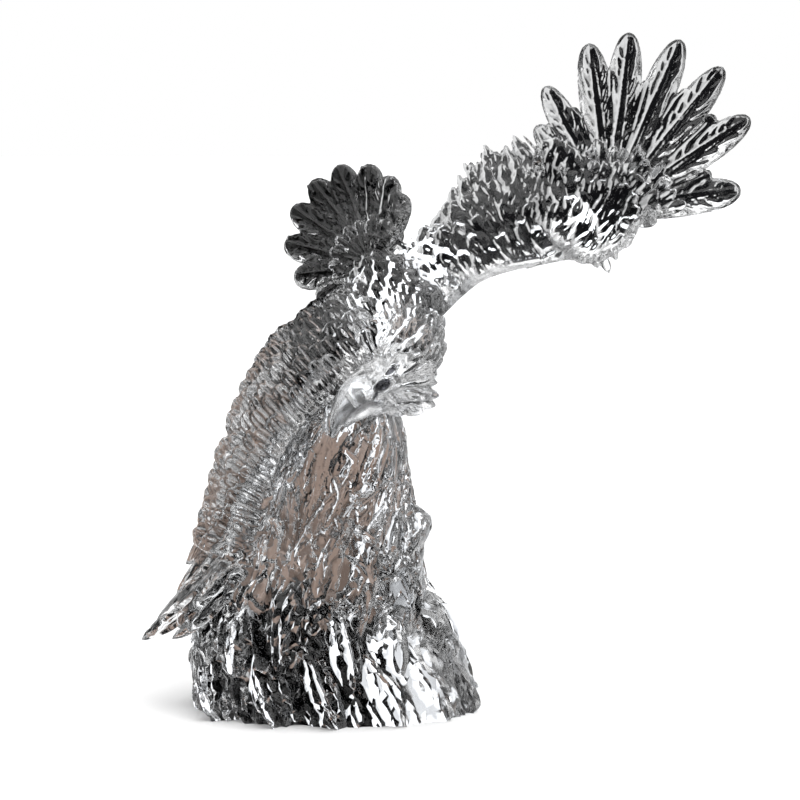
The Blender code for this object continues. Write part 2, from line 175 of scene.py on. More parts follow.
def facets(points: np.ndarray, size: Sequence[float]) -> np.ndarray:
    """Heights of flat facets, each tilted its own way, as on split ice.

    Args:
        points: places, one a row.
        size: width, depth and height of a facet.

    Returns:
        A value from about -1 to 1 for each place.
    """
    scaled = (points / np.array(size)).astype(np.float32)
    cells = np.floor(scaled).astype(np.int64)
    nearest = np.full(len(points), 9.0, np.float32)
    height = np.zeros(len(points), np.float32)
    for corner in np.ndindex(3, 3, 3):
        cell = cells + np.array(corner) - 1
        gap = scaled - cell - np.stack([lot(cell, salt) for salt in (1, 2, 3)], axis=1)
        far = (gap * gap).sum(axis=1)
        closer = far < nearest
        nearest[closer] = far[closer]
        tilt = np.stack([lot(cell[closer], salt) for salt in (4, 5, 6)], axis=1) * 2.0 - 1.0
        height[closer] = (gap[closer] * tilt).sum(axis=1) + 0.4 * (lot(cell[closer], 7) - 0.5)
    return height


def skin_of(mesh: bpy.types.Mesh) -> Tuple[np.ndarray, np.ndarray]:
    """Places and normals of a mesh's points, one a row."""
    points = np.empty(len(mesh.vertices) * 3, np.float32)
    normals = np.empty(len(mesh.vertices) * 3, np.float32)
    mesh.vertices.foreach_get("co", points)
    mesh.vertex_normals.foreach_get("vector", normals)
    return points.reshape(-1, 3), normals.reshape(-1, 3)


def ends_of(mesh: bpy.types.Mesh) -> np.ndarray:
    """Numbers of the two points of a mesh's edges, one edge a row."""
    ends = np.empty(2 * len(mesh.edges), np.int32)
    mesh.edges.foreach_get("vertices", ends)
    return ends.reshape(-1, 2)


def corner_key(face: bmesh.types.BMFace, count: int) -> float:
    """Number that only this face of a form with count points has, for an order that never changes."""
    key = 0.0
    for number in sorted(vertex.index for vertex in face.verts):
        key = key * count + number
    return key


def mesh_of(name: str, form: bmesh.types.BMesh) -> bpy.types.Mesh:
    """Makes a mesh of the form, and frees the form."""
    mesh = bpy.data.meshes.new(name)
    form.to_mesh(mesh)
    form.free()
    return mesh


def placed(name: str, data: bpy.types.ID) -> bpy.types.Object:
    """Makes an object of the data and puts it in the scene."""
    thing = bpy.data.objects.new(name, data)
    bpy.context.scene.collection.objects.link(thing)
    return thing


def modified(source: bpy.types.Object) -> bpy.types.Mesh:
    """Makes a mesh of the object with its modifiers applied."""
    bpy.context.view_layer.update()
    shown = source.evaluated_get(bpy.context.evaluated_depsgraph_get())
    return bpy.data.meshes.new_from_object(shown)


def math(tree: bpy.types.NodeTree, operation: str,
         *values: Union[float, bpy.types.NodeSocket]) -> bpy.types.NodeSocket:
    """Adds a Math node on sockets or numbers and returns its output."""
    node = tree.nodes.new("ShaderNodeMath")
    node.operation = operation
    for i, value in enumerate(values):
        if isinstance(value, (int, float)):
            node.inputs[i].default_value = value
        else:
            tree.links.new(value, node.inputs[i])
    return node.outputs["Value"]


def ramp(tree: bpy.types.NodeTree, value: bpy.types.NodeSocket, low: float,
         high: float) -> bpy.types.NodeSocket:
    """Adds a smooth step that is 0 at low and 1 at high, and returns its output."""
    node = tree.nodes.new("ShaderNodeMapRange")
    node.interpolation_type = "SMOOTHSTEP"
    node.inputs["From Min"].default_value = low
    node.inputs["From Max"].default_value = high
    tree.links.new(value, node.inputs["Value"])
    return node.outputs["Result"]


def blend(tree: bpy.types.NodeTree, factor: bpy.types.NodeSocket,
          *colours: Union[Colour, bpy.types.NodeSocket]) -> bpy.types.NodeSocket:
    """Adds a node that mixes two colours, given plainly or as sockets, and returns its output."""
    node = tree.nodes.new("ShaderNodeMix")
    node.data_type = "RGBA"
    tree.links.new(factor, node.inputs["Factor"])
    for name, colour in zip("AB", colours):
        if isinstance(colour, tuple):
            node.inputs[name].default_value = colour
        else:
            tree.links.new(colour, node.inputs[name])
    return node.outputs["Result"]


class Grain(Enum):
    """Kinds of surface, by what is cut into them."""

    POLISHED = 0
    STRANDS = 1


@dataclass
class Blade:
    """One feather or shard: a crowned, closed vane from root to tip.

    Base, shoulder, sharpness and fullness shape its outline; sweep, lift and camber bend it; the shaft
    is a ridge down its middle, and the flutes are waves across it.
    """

    root: Vector
    tip: Vector
    face: Vector
    half_width: float
    half_thick: float
    base: float = 0.55
    shoulder: float = 0.72
    sharpness: float = 0.5
    sweep: float = 0.0
    lift: float = 0.0
    camber: float = 0.12
    shaft: float = 0.0
    fullness: float = 2.0
    flutes: int = 0
    flute_depth: float = 0.42
    round_root: float = 0.1
    shaft_width: float = 0.16

    def __post_init__(self) -> None:
        """Works out the blade's own three directions."""
        self.reach = self.tip - self.root
        self.length = self.reach.length
        self.along = self.reach / self.length
        self.side, self.out = side_and_out(self.along, self.face)

    def share(self, station: float) -> float:
        """Half-width share there: rounded root, swelling middle, rounded or pointed tip."""
        rise = min(station / self.shoulder, 1.0)
        share = self.base + (1.0 - self.base) * sin(rise * pi / 2.0)
        share *= rounded(station / self.round_root)
        if station > self.shoulder:
            past = (station - self.shoulder) / (1.0 - self.shoulder)
            share *= max(0.0, 1.0 - past**self.fullness) ** self.sharpness
        return share

    def place(self, station: float, angle: float) -> Tuple[Vector, float]:
        """Point of the skin, and its offset from the shaft."""
        bow = sin(pi * station)
        bend = self.side * (self.sweep * self.length * bow) + self.out * (self.lift * self.length * bow)
        share = self.share(station)
        across = cos(angle)
        drop = self.camber * self.half_width * across * across * share
        ridge = 1.0 + self.shaft * max(0.0, 1.0 - abs(across) / self.shaft_width)
        if self.flutes:
            ridge += self.flute_depth * cos(pi * self.flutes * across) * min(6.0 * (1.0 - station), 1.0)
        rise = self.half_thick * sqrt(share) * sin(angle) * ridge - drop
        offset = self.half_width * share * across
        point = self.root + self.reach * station + bend + self.side * offset + self.out * rise
        return point, offset

    def skin(self, station: float, across: float, side: int) -> Vector:
        """Point on the front (side 1) or the back (side -1), at a share of the half-width."""
        return self.place(station, side * acos(min(max(across, -1.0), 1.0)))[0]


@dataclass
class Mould:
    """The heap of closed forms that is fused into one skin."""

    form: bmesh.types.BMesh = field(default_factory=bmesh.new)
    grain: List[Tuple[float, float]] = field(default_factory=list)

    def ball(self, rings: int, sides: int, place: Place, kind: Grain) -> None:
        """Adds a closed ball with each of its points put where place says.

        Args:
            rings: steps from pole to pole.
            sides: steps round the ball.
            place: gives the point, and its offset from the form's middle.
            kind: surface that is cut into it.
        """
        ball = bmesh.new()
        bmesh.ops.create_uvsphere(ball, u_segments=sides, v_segments=rings, radius=1.0)
        ball.verts.index_update()
        ball.faces.sort(key=lambda face: corner_key(face, len(ball.verts)))
        for vertex in ball.verts:
            height = min(max(vertex.co.z, -1.0), 1.0)
            station = 0.5 * (acos(-height) / pi + (1.0 + height) / 2.0)
            point, offset = place(station, atan2(vertex.co.y, vertex.co.x))
            vertex.co = point
            self.grain.append((offset, float(kind.value)))
        mesh = mesh_of("ball", ball)
        self.form.from_mesh(mesh)
        bpy.data.meshes.remove(mesh)

    def blade(self, blade: Blade, rings: int = 16, sides: int = 20, kind: Grain = Grain.POLISHED) -> Blade:
        """Adds a feather or shard and returns it."""
        self.ball(rings, sides, blade.place, kind)
        return blade

    def limb(self, centres: Sequence[Vector], widths: Sequence[float], depths: Sequence[float],
             face: Vector, rings: int = 24, sides: int = 16, blunt: float = 0.06,
             kind: Grain = Grain.POLISHED) -> None:
        """Adds a smooth tube along the centres.

        Args:
            centres: points of its spine.
            widths: half-widths across face, spread evenly along the spine.
            depths: half-depths towards face, spread evenly along the spine.
            face: direction of the depths.
            rings: steps along the tube.
            sides: steps round the tube.
            blunt: share of the length that each rounded end takes.
            kind: surface that is cut into it.
        """
        step = 0.01

        def place(station: float, angle: float) -> Tuple[Vector, float]:
            """Point of the tube at a station and an angle round it."""
            middle = spline(centres, station)
            along = (spline(centres, station + step) - spline(centres, station - step)).normalized()
            side, out = side_and_out(along, face)
            cap = rounded(min(station, 1.0 - station) / blunt)
            width = spline(widths, station) * cap
            depth = spline(depths, station) * cap
            point = middle + side * (width * cos(angle)) + out * (depth * sin(angle))
            return point, width * cos(angle)

        self.ball(rings, sides, place, kind)

    def lump(self, centre: Vector, along: Vector, face: Vector, radii: Sequence[float]) -> None:
        """Adds an egg with its three radii along, across and towards face."""
        axis = along.normalized()
        side, out = side_and_out(axis, face)

        def place(station: float, angle: float) -> Tuple[Vector, float]:
            """Point of the egg at a station and an angle round it."""
            level = 2.0 * station - 1.0
            ring = sqrt(max(0.0, 1.0 - level * level))
            across = radii[1] * ring * cos(angle)
            point = centre + axis * (radii[0] * level) + side * across + out * (radii[2] * ring * sin(angle))
            return point, across

        self.ball(16, 24, place, Grain.POLISHED)

    def line(self, centres: Sequence[Vector], radius: float, face: Vector, rings: int = 12) -> None:
        """Adds a thin raised line along the centres, tapering at both ends."""
        radii = (0.5 * radius, radius, radius, 0.4 * radius)
        self.limb(centres, radii, radii, face, rings=rings, sides=8, blunt=0.15)


@dataclass
class Pelt:
    """Narrow leaves laid over the forms that are already in the mould, following their skin."""

    half_width: float
    half_thick: float
    length: float
    proud: float = 0.25 * MM
    wander: float = 0.2
    kind: Grain = Grain.POLISHED

    def leaf(self, mould: Mould, tree: BVHTree, start: Vector, look: Vector, heading: Vector,
             seed: float) -> None:
        """Lays one leaf.

        Args:
            mould: heap that takes it.
            tree: skin that it lies on.
            start: place of its root, as seen in the direction look.
            look: direction in which the skin is looked for.
            heading: direction that the leaf runs in.
            seed: number that varies it.
        """
        steps = 5
        step = self.length * (1.0 + 0.3 * noise(seed)) / (steps - 1)
        heading = Matrix.Rotation(self.wander * noise(seed + 0.5), 3, look) @ heading
        here = start
        line: List[Vector] = []
        face = look
        for k in range(steps):
            hit, normal, _, _ = tree.ray_cast(here - look * 0.15, look)
            if hit is None or (line and (hit - line[-1]).length > 2.5 * step):
                break
            line.append(hit + normal * self.proud)
            face = normal if k == 1 else face
            here = hit + (heading - normal * heading.dot(normal)).normalized() * step
        if len(line) < 3:
            return
        width = self.half_width * (1.0 + 0.25 * noise(seed + 0.25))
        widths = (0.4 * width, width, 0.9 * width, 0.15 * width)
        depths = (0.6 * self.half_thick, self.half_thick, self.half_thick, 0.3 * self.half_thick)
        mould.limb(line, widths, depths, face, rings=10, sides=8, blunt=0.15, kind=self.kind)

    def patch(self, mould: Mould, tree: BVHTree, middle: Vector, look: Vector, half: Sequence[float],
              gap: Sequence[float], aim: Callable[[float, float], float], up: Vector = UP) -> None:
        """Covers an oval patch with staggered leaves.

        Args:
            mould: heap that takes them.
            tree: skin that they lie on.
            middle: middle of the patch.
            look: direction in which the skin is looked for.
            half: half width and half height of the patch.
            gap: spaces between the leaves across and along the height.
            aim: gives the heading in degrees from the patch's width, at shares of its half sizes.
            up: direction of the patch's height.
        """
        right = look.cross(up).normalized()
        rise = right.cross(look)
        rows = int(2 * half[1] / gap[1]) + 1
        columns = int(2 * half[0] / gap[0]) + 1
        for i in range(rows):
            for j in range(columns):
                seed = 37 * i + j + 100.0 * middle.x
                x = -1.0 + (j + 0.5 * (i % 2) + 0.35 * noise(seed)) * gap[0] / half[0]
                y = -1.0 + (i + 0.35 * noise(seed + 7)) * gap[1] / half[1]
                if x * x + y * y > 1.0:
                    continue
                turn = radians(aim(x, y))
                heading = right * cos(turn) + rise * sin(turn)
                start = middle + right * (x * half[0]) + rise * (y * half[1])
                self.leaf(mould, tree, start, look, heading, seed)


@dataclass
class BarbCut:
    """Raised shaft lines and curved barb strokes of a long feather.

    The strokes stand from first to last along the feather and sweep by lean, as shares of its length,
    and reach from inner to outer, as shares of its half-width.
    """

    strokes: int = 7
    stroke_radius: float = 0.85 * MM
    shaft_radius: float = 0.9 * MM
    shaft_gap: float = 0.15
    proud: float = 0.6 * MM
    first: float = 0.35
    last: float = 0.9
    lean: float = 0.085
    inner: float = 0.30
    outer: float = 0.74

    def shaft(self, mould: Mould, blade: Blade, side: int) -> None:
        """Adds the twin shaft lines on the front (side 1) or the back (side -1) of the blade."""
        rise = blade.out * (side * self.proud)
        for gap in (-self.shaft_gap, self.shaft_gap):
            line = [blade.skin(0.04 + 0.115 * k, gap * (1.5 - 0.14 * k), side) + rise for k in range(9)]
            mould.line(line, self.shaft_radius, blade.out * side, rings=28)

    def stroke(self, mould: Mould, blade: Blade, seed: int, number: int, hand: int) -> None:
        """Adds one stroke on the front of the blade.

        Args:
            mould: heap that takes it.
            blade: feather that carries it.
            seed: number that varies the strokes from feather to feather.
            number: place of the stroke in its row.
            hand: half of the feather that it is on, 1 or -1.
        """
        vary = noise(seed * 31 + number * 7 + hand * 3 + 1)
        start = self.first + (self.last - self.first) * (number + 0.5 + 0.4 * vary) / self.strokes
        outer = self.outer + 0.2 * noise(seed * 17 + number * 5 + hand)
        inner = self.inner + 0.1 * vary
        line = []
        for s in (0.0, 0.35, 0.7, 1.0):
            station = min(start + self.lean * (1.0 + 0.3 * vary) * (s + 0.5 * s * s), 0.97)
            line.append(blade.skin(station, hand * (inner + (outer - inner) * s), 1) + blade.out * self.proud)
        mould.line(line, self.stroke_radius, blade.out, rings=10)

    def cut(self, mould: Mould, blade: Blade, seed: int) -> None:
        """Adds the shaft lines on both faces of the blade, and the strokes on its front."""
        self.shaft(mould, blade, 1)
        for number in range(self.strokes):
            for hand in (1, -1):
                self.stroke(mould, blade, seed, number, hand)
        self.shaft(mould, blade, -1)


@dataclass
class Wing:
    """An arm: a sheet between its front edge and its feather-tip edge, with rows of feathers.

    Each row is given by its root's and its tip's share across the arm, how many feathers it has, and
    their half thickness and lift in millimetres.
    """

    lead: List[Vector]
    trail: List[Vector]
    turn: int
    rows: Tuple[Row, ...]
    half_thick: float = 6.5 * MM
    core_share: float = 0.82
    tip_half_thick: float = 1.3 * MM
    swell: float = 0.30
    ragged: float = 0.035
    flutes: int = 3
    flute_depth: float = 0.42
    edge: float = 0.0
    shown: int = 1
    arch: float = 0.10
    thinning: float = 0.62
    round_end: float = 0.05

    def normal(self, u: float) -> Vector:
        """Direction out of the bird's back, at a share of the arm's length."""
        step = 0.02
        span = spline(self.lead, u + step) - spline(self.lead, u - step)
        chord = spline(self.trail, u) - spline(self.lead, u)
        return span.cross(chord).normalized() * self.turn

    def thick(self, u: float) -> float:
        """Half thickness near the front edge, at a share of the arm's length."""
        return self.half_thick * (1.25 - 0.35 * u)

    def half(self, u: float, v: float) -> float:
        """Half thickness at shares along and across the arm."""
        share = min(max(v / self.core_share, 0.0), 1.0)
        swell = 2.0 * sqrt(share * (1.0 - share)) * (1.0 - self.thinning * share)
        return max(self.thick(u) * swell, self.tip_half_thick)

    def point(self, u: float, v: float, height: float) -> Vector:
        """Point at shares along and across the arm, at a height over its arched middle."""
        chord = spline(self.trail, u) - spline(self.lead, u)
        arch = self.arch * chord.length * 4.0 * v * (1.0 - v)
        return spline(self.lead, u) + chord * v + self.normal(u) * (arch + height)

    def core(self, mould: Mould) -> None:
        """Adds the arm itself, a thick front edge thinning towards the feather tips."""

        def place(station: float, angle: float) -> Tuple[Vector, float]:
            """Point of the arm at a station along it and an angle round it."""
            v = self.core_share * (1.0 - cos(angle)) / 2.0
            share = v / self.core_share
            half = self.thick(station) * sin(angle) * (1.0 - self.thinning * share)
            cap = rounded(min(station, 1.0 - station) / self.round_end)
            mid = self.core_share / 2.0
            return self.point(station, mid + (v - mid) * cap, half * cap), 0.05 * v

        mould.ball(32, 24, place, Grain.POLISHED)

    def row(self, mould: Mould, spec: Row, side: int, stagger: float) -> None:
        """Adds one row of overlapping feathers on the back (side 1) or the underside (side -1)."""
        root_v, tip_v, count, half_thick, lift = spec
        far = side != self.shown and tip_v < 1.0
        count = count // 2 if far else count
        pitch = 1.0 / count
        for i in range(int(count) + 1):
            u = min(max((i + stagger) * pitch, 0.0), 1.0)
            vary = noise(i * 7 + count + int(10 * tip_v))
            tip_share = tip_v + self.ragged * vary
            span = spline(self.trail, u + pitch) - spline(self.trail, u - pitch)
            width = span.length * (self.swell if root_v > 0.05 else 0.9 * self.swell)
            root = self.point(u, root_v, side * self.half(u, root_v) * 0.4)
            outer = tip_v >= 1.0
            rise = side * (0.3 * MM if outer else self.half(u, tip_v) + (0.3 if far else 1.0) * lift * MM)
            tip = self.point(u + 0.3 * pitch * noise(i * 5 + 10 * tip_v), tip_share, rise)
            face = self.normal(u) * side
            mould.blade(Blade(root, tip, face, width, half_thick * MM, base=0.6, shoulder=0.66,
                              sweep=0.05 * vary, lift=0.02, fullness=2.6, flutes=0 if far else self.flutes,
                              flute_depth=self.flute_depth), rings=18, sides=28)

    def cover(self, mould: Mould, tree: BVHTree, looks: Sequence[Vector], half: Sequence[float],
              pelt: Pelt) -> None:
        """Lays fine strokes over the feathers, running the way that they do.

        Args:
            mould: heap that takes them.
            tree: skin that they lie on.
            looks: directions in which the skin is looked for.
            half: half length and half width of the covered patch.
            pelt: shape of the strokes.
        """
        middle = (spline(self.lead, 0.5) + spline(self.trail, 0.5)) / 2.0
        chord = spline(self.trail, 0.5) - spline(self.lead, 0.5)
        span = spline(self.lead, 0.95) - spline(self.lead, 0.05)
        for look in looks:
            up = look.cross(span).normalized()
            up = up if up.dot(chord) > 0.0 else -up
            turn = 1 if look.y > 0 else -1
            pelt.patch(mould, tree, middle, look, half, mm(2.7, 6.0),
                       lambda x, y: 90 + turn * (8 - 24 * x), up)

    def cast(self, mould: Mould) -> None:
        """Adds the arm and its feather rows to the mould."""
        self.core(mould)
        if self.edge:
            lead = [self.point(share, 0.04, 0.0) for share in np.linspace(0.02, 1.0, 9).tolist()]
            mould.limb(lead, [self.edge] * 2, [self.edge] * 2, FRONT, rings=40)
        for number, spec in enumerate(self.rows):
            for side in (1,) if number == 0 else (1, -1):
                self.row(mould, spec, side, 0.5 * (number % 2))


@dataclass
class Fan:
    """A plane of feathers that spread from one point, longest at the angle of the peak."""

    centre: Vector
    slope: Tuple[float, float]
    reach: float
    peak: float
    falls: Tuple[float, float]

    def face(self) -> Vector:
        """Direction that the fan's front looks in."""
        return Vector((self.slope[0], -1.0, self.slope[1])).normalized()

    def point(self, angle: float, reach: float) -> Vector:
        """Point at an angle and a reach, as seen from the front."""
        dx = reach * cos(radians(angle))
        dz = reach * sin(radians(angle))
        return self.centre + Vector((dx, self.slope[0] * dx + self.slope[1] * dz, dz))

    def length(self, angle: float) -> float:
        """Length of the feather there: full at the peak, shorter on each side of it."""
        fall = self.falls[0] if angle < self.peak else self.falls[1]
        return self.reach * (1.0 - ((angle - self.peak) / fall) ** 2)


@dataclass
class LeftHand:
    """Spread hand of the raised wing: long finger feathers joined by a ribbed web, and the solid palm."""

    fan: Fan = field(default_factory=lambda: Fan(at(139, -11, 259.5), (-0.12, 0.30), 98.5 * MM, 64, (99, 99)))
    angles: Tuple[float, ...] = (128, 115, 95, 82, 66.5, 51, 33.5, 10.5)
    # Angle in degrees and reach in millimetres of the web between each two feathers.
    notches: Tuple[Tuple[float, float], ...] = (
        (121, 58), (107, 60), (88, 77), (72, 75), (56, 80), (42, 78), (22, 60),
    )
    width: float = 9.2 * MM
    thick: float = 2.4 * MM
    barbs: BarbCut = field(default_factory=BarbCut)
    web_thick: float = 1.1 * MM
    ribs: Tuple[float, ...] = (-0.5, 0.1, 0.6)
    rib_radius: float = 0.85 * MM
    rib_proud: float = 0.4 * MM
    # Root from the hand's middle, tip and half width of each thumb feather.
    thumbs: Tuple[Tuple[Vector, Vector, float], ...] = (
        (at(-6, -1, -12), at(140, -19, 230.5), 2.6 * MM), (at(-9, -1, -13), at(134, -19, 233), 2.6 * MM),
        (at(-2, -1, -10), at(144, -17, 237), 2.4 * MM), (at(2, -1, -4), at(148, -14, 247), 3.4 * MM),
    )
    # First and last angle, root and tip reach and lift of each arc of short feathers on the palm.
    arcs: Tuple[Row, ...] = ((8, 165, 22, 37, 3.2), (-8, 165, 14, 28, 5.6), (-40, 170, 5, 18, 7.4))
    scale_pitch: float = 13.0
    scale_reach: float = 30.0
    scale_width: float = 3.4 * MM

    def feathers(self, mould: Mould) -> None:
        """Adds the long feathers with their shaft lines and strokes."""
        face = self.fan.face()
        for i, angle in enumerate(self.angles):
            reach = self.fan.length(angle)
            root = self.fan.point(angle, 0.06 * reach)
            tip = self.fan.point(angle, reach) + face * (3.0 * MM)
            width = self.width * (0.85 if i < 2 else 1.0)
            sweep = 0.03 * (angle - 70) / 60
            blade = mould.blade(Blade(root, tip, face, width, self.thick, base=0.30, shoulder=0.58,
                                      fullness=3.0, sweep=sweep, lift=-0.05), rings=40, sides=32)
            self.barbs.cut(mould, blade, i)

    def web(self, mould: Mould) -> None:
        """Adds the thinner web between the fingers, with long ribs on both faces."""
        face = self.fan.face()
        for angle, reach in self.notches:
            root = self.fan.point(angle, 8 * MM)
            tip = self.fan.point(angle, (reach - 2) * MM) + face * (1.0 * MM)
            web = mould.blade(Blade(root, tip, face, 0.075 * reach * MM, self.web_thick, base=0.3,
                                    shoulder=0.8, sharpness=0.4, lift=-0.05), rings=32, sides=24)
            for side in (1, -1):
                rise = web.out * (side * self.rib_proud)
                for share in self.ribs:
                    line = [web.skin(0.18 + 0.10 * k, share, side) + rise for k in range(9)]
                    mould.line(line, self.rib_radius, web.out * side, rings=28)

    def wrist(self, mould: Mould) -> None:
        """Adds the palm, the wrist and the small thumb feathers under it."""
        face = self.fan.face()
        middle = self.fan.centre
        for side in (1, -1):
            lift = face * (side * 1.2 * MM)
            mould.lump(at(132, -10, 263) + lift, Vector((1, 0, 0.35)), face, mm(28, 22, 5.0))
        mould.lump(at(118, -6, 276), Vector((-0.5, 0.1, 1)), face, mm(25, 14, 5.5))
        mould.lump(middle + at(-3, 0, -6), Vector((1, 0, 0.5)), face, mm(21, 16, 6.5))
        mould.lump(at(124, -16, 252), Vector((-0.35, 0.2, 1)), face, mm(18, 11, 8))
        for root, tip, width in self.thumbs:
            mould.blade(Blade(middle + root, tip, face, width, 2.0 * MM, base=0.8, sharpness=0.9, shaft=0.4,
                              flutes=2, flute_depth=0.3), rings=24, sides=24)

    def scales(self, mould: Mould) -> None:
        """Adds the arcs of short feathers that cover the front of the palm."""
        face = self.fan.face()
        front = face if face.y < 0.0 else -face
        for first, last, root, tip, lift in self.arcs:
            count = int((last - first) / self.scale_pitch * tip / self.scale_reach)
            for i in range(count + 1):
                angle = first + (last - first) * i / count
                long = 1.0 + 0.12 * noise(i * 5 + int(tip))
                start = self.fan.point(angle - 10, root * MM) + front * (0.5 * lift * MM)
                end = self.fan.point(angle, tip * long * MM) + front * (lift * MM)
                mould.blade(Blade(start, end, front, self.scale_width, 1.5 * MM, base=0.6, shoulder=0.6,
                                  lift=0.03, shaft=0.3), rings=18, sides=20)

    def cast(self, mould: Mould) -> None:
        """Adds the hand to the mould."""
        self.feathers(mould)
        self.web(mould)
        self.wrist(mould)
        self.scales(mould)

    def cover(self, mould: Mould, tree: BVHTree) -> None:
        """Lays the fine strokes of the palm, all rising to the right."""
        pelt = Pelt(1.05 * MM, 1.6 * MM, 12 * MM, proud=0.5 * MM)
        for look in (-self.fan.face(), self.fan.face()):
            turn = 1 if look.y > 0 else -1
            pelt.patch(mould, tree, self.fan.centre + at(-12 * turn, 0, 5), look, mm(42, 31), mm(3.3, 7),
                       lambda x, y: 90 - turn * (26 + 16 * x))
            pelt.patch(mould, tree, at(126, -16, 247), look, mm(16, 14), mm(3.3, 6),
                       lambda x, y: 90 + turn * 130)


@dataclass
class Tail:
    """Raised, spread tail with short coverts over its root."""

    fan: Fan = field(default_factory=lambda: Fan(at(19, 17, 233), (-0.50, 0.49), 55.5 * MM, 114, (88, 165)))
    angles: Tuple[float, ...] = (68, 80, 94, 111, 128, 147, 168, 190, 212)
    width: float = 8.6 * MM
    thick: float = 2.2 * MM
    barbs: BarbCut = field(default_factory=lambda: BarbCut(strokes=5, first=0.4, shaft_gap=0.12))
    covert_reaches: Tuple[int, ...] = (23, 15)
    covert_length: int = 18
    covert_width: float = 4.0 * MM
    covert_thick: float = 1.7 * MM

    def cast(self, mould: Mould) -> None:
        """Adds the tail to the mould."""
        face = self.fan.face()
        for i, angle in enumerate(self.angles):
            reach = self.fan.length(angle)
            root = self.fan.point(angle, -0.05 * reach)
            tip = self.fan.point(angle, reach)
            blade = mould.blade(Blade(root, tip, face, self.width, self.thick, base=0.35, fullness=3.0,
                                      lift=-0.05), rings=28, sides=28)
            self.barbs.cut(mould, blade, 20 + i)
        for side in (1, -1):
            for row, reach in enumerate(self.covert_reaches):
                for i in range(9):
                    angle = 52 + 19 * i + 9 * row
                    lift = face * (side * (3.0 + row) * MM)
                    root = self.fan.point(angle, (reach - self.covert_length) * MM) + lift
                    tip = self.fan.point(angle, reach * MM) + lift
                    mould.blade(Blade(root, tip, face * side, self.covert_width, self.covert_thick, flutes=3),
                                sides=24)

    def cover(self, mould: Mould, tree: BVHTree) -> None:
        """Lays long fine ribs over the right-hand side of the fan."""
        pelt = Pelt(1.0 * MM, 0.9 * MM, 17 * MM, wander=0.12)
        pelt.patch(mould, tree, self.fan.point(75, 32 * MM), -self.fan.face(), mm(12, 22), mm(3.0, 10),
                   lambda x, y: 92 - 22 * x)


@dataclass
class Body:
    """Back, breast and neck as one tube, with rows of pointed feathers, and the two legs."""

    # Middle, half width and half depth in millimetres at each place from the rump to the neck.
    spine: Tuple[Tuple[Vector, float, float], ...] = (
        (at(13, 25, 238), 5, 3),
        (at(18, 18, 230), 12, 8.5),
        (at(25, 10, 219), 19, 14),
        (at(32, 2, 208), 20, 17),
        (at(37, -10, 197), 17.5, 18),
        (at(38, -24, 189), 15, 16),
        (at(31, -36, 182), 12.5, 13),
        (at(22, -44, 178), 11, 11),
    )
    legs: Tuple[Tuple[Vector, ...], ...] = (
        (at(24, 14, 203), at(16, 16, 181), at(4, 12, 155)),
        (at(36, 10, 200), at(28, 12, 179), at(20, 10, 153)),
    )
    back: Vector = field(default_factory=lambda: Vector((-0.56, -0.64, 0.51)).normalized())
    rump: Vector = field(default_factory=lambda: at(32, 0, 216))
    rows: int = 10
    around: int = 12
    first_row: float = 0.95
    row_pitch: float = 0.078
    feather_share: float = 0.15
    feather_lift: float = 2.2 * MM

    def __post_init__(self) -> None:
        """Splits the spine into its middles, half widths and half depths."""
        self.centres = [row[0] for row in self.spine]
        self.widths = [row[1] * MM for row in self.spine]
        self.depths = [row[2] * MM for row in self.spine]

    def cast(self, mould: Mould) -> None:
        """Adds the body and the legs to the mould."""
        mould.limb(self.centres, self.widths, self.depths, self.back, rings=32, sides=24)
        for row in range(self.rows):
            share = self.first_row - self.row_pitch * row
            along = (spline(self.centres, share - 0.02) - spline(self.centres, share)).normalized()
            axes = side_and_out(along, self.back)
            for i in range(self.around):
                turn = radians(360 * (i + 0.5 * (row % 2)) / self.around)
                out = (axes[0] * cos(turn) + axes[1] * sin(turn)).normalized()
                if out.y > 0.3:
                    continue
                root = self.skin(share, axes, turn, 0.88)
                tip_turn = turn + 0.1 * noise(i + row)
                tip = self.skin(share - self.feather_share, axes, tip_turn, 1.0) + out * self.feather_lift
                mould.blade(Blade(root, tip, out, 4.2 * MM, 1.9 * MM, base=0.6, shoulder=0.6, sharpness=0.6,
                                  fullness=2.4, flutes=3), sides=24)
        for leg in self.legs:
            mould.limb(leg, mm(10, 8, 4), mm(10, 8, 4), RIGHT)

    def cover(self, mould: Mould, tree: BVHTree) -> None:
        """Lays short curling strokes over the rump, the back and the root of the raised arm."""
        pelt = Pelt(1.0 * MM, 1.3 * MM, 8.5 * MM, proud=0.75 * MM, wander=1.1)
        pelt.patch(mould, tree, self.rump, Vector((0, 1, -0.1)), mm(34, 25), mm(3.1, 5.5),
                   lambda x, y: 96 - 30 * x)

    def skin(self, share: float, axes: Tuple[Vector, Vector], turn: float, swell: float) -> Vector:
        """Finds a point of the body's skin.

        Args:
            share: place along the spine.
            axes: directions of the body's width and depth there.
            turn: turn round the spine.
            swell: share of the body's radius.

        Returns:
            The point.
        """
        across = spline(self.widths, share) * swell * cos(turn)
        deep = spline(self.depths, share) * swell * sin(turn)
        return spline(self.centres, share) + axes[0] * across + axes[1] * deep


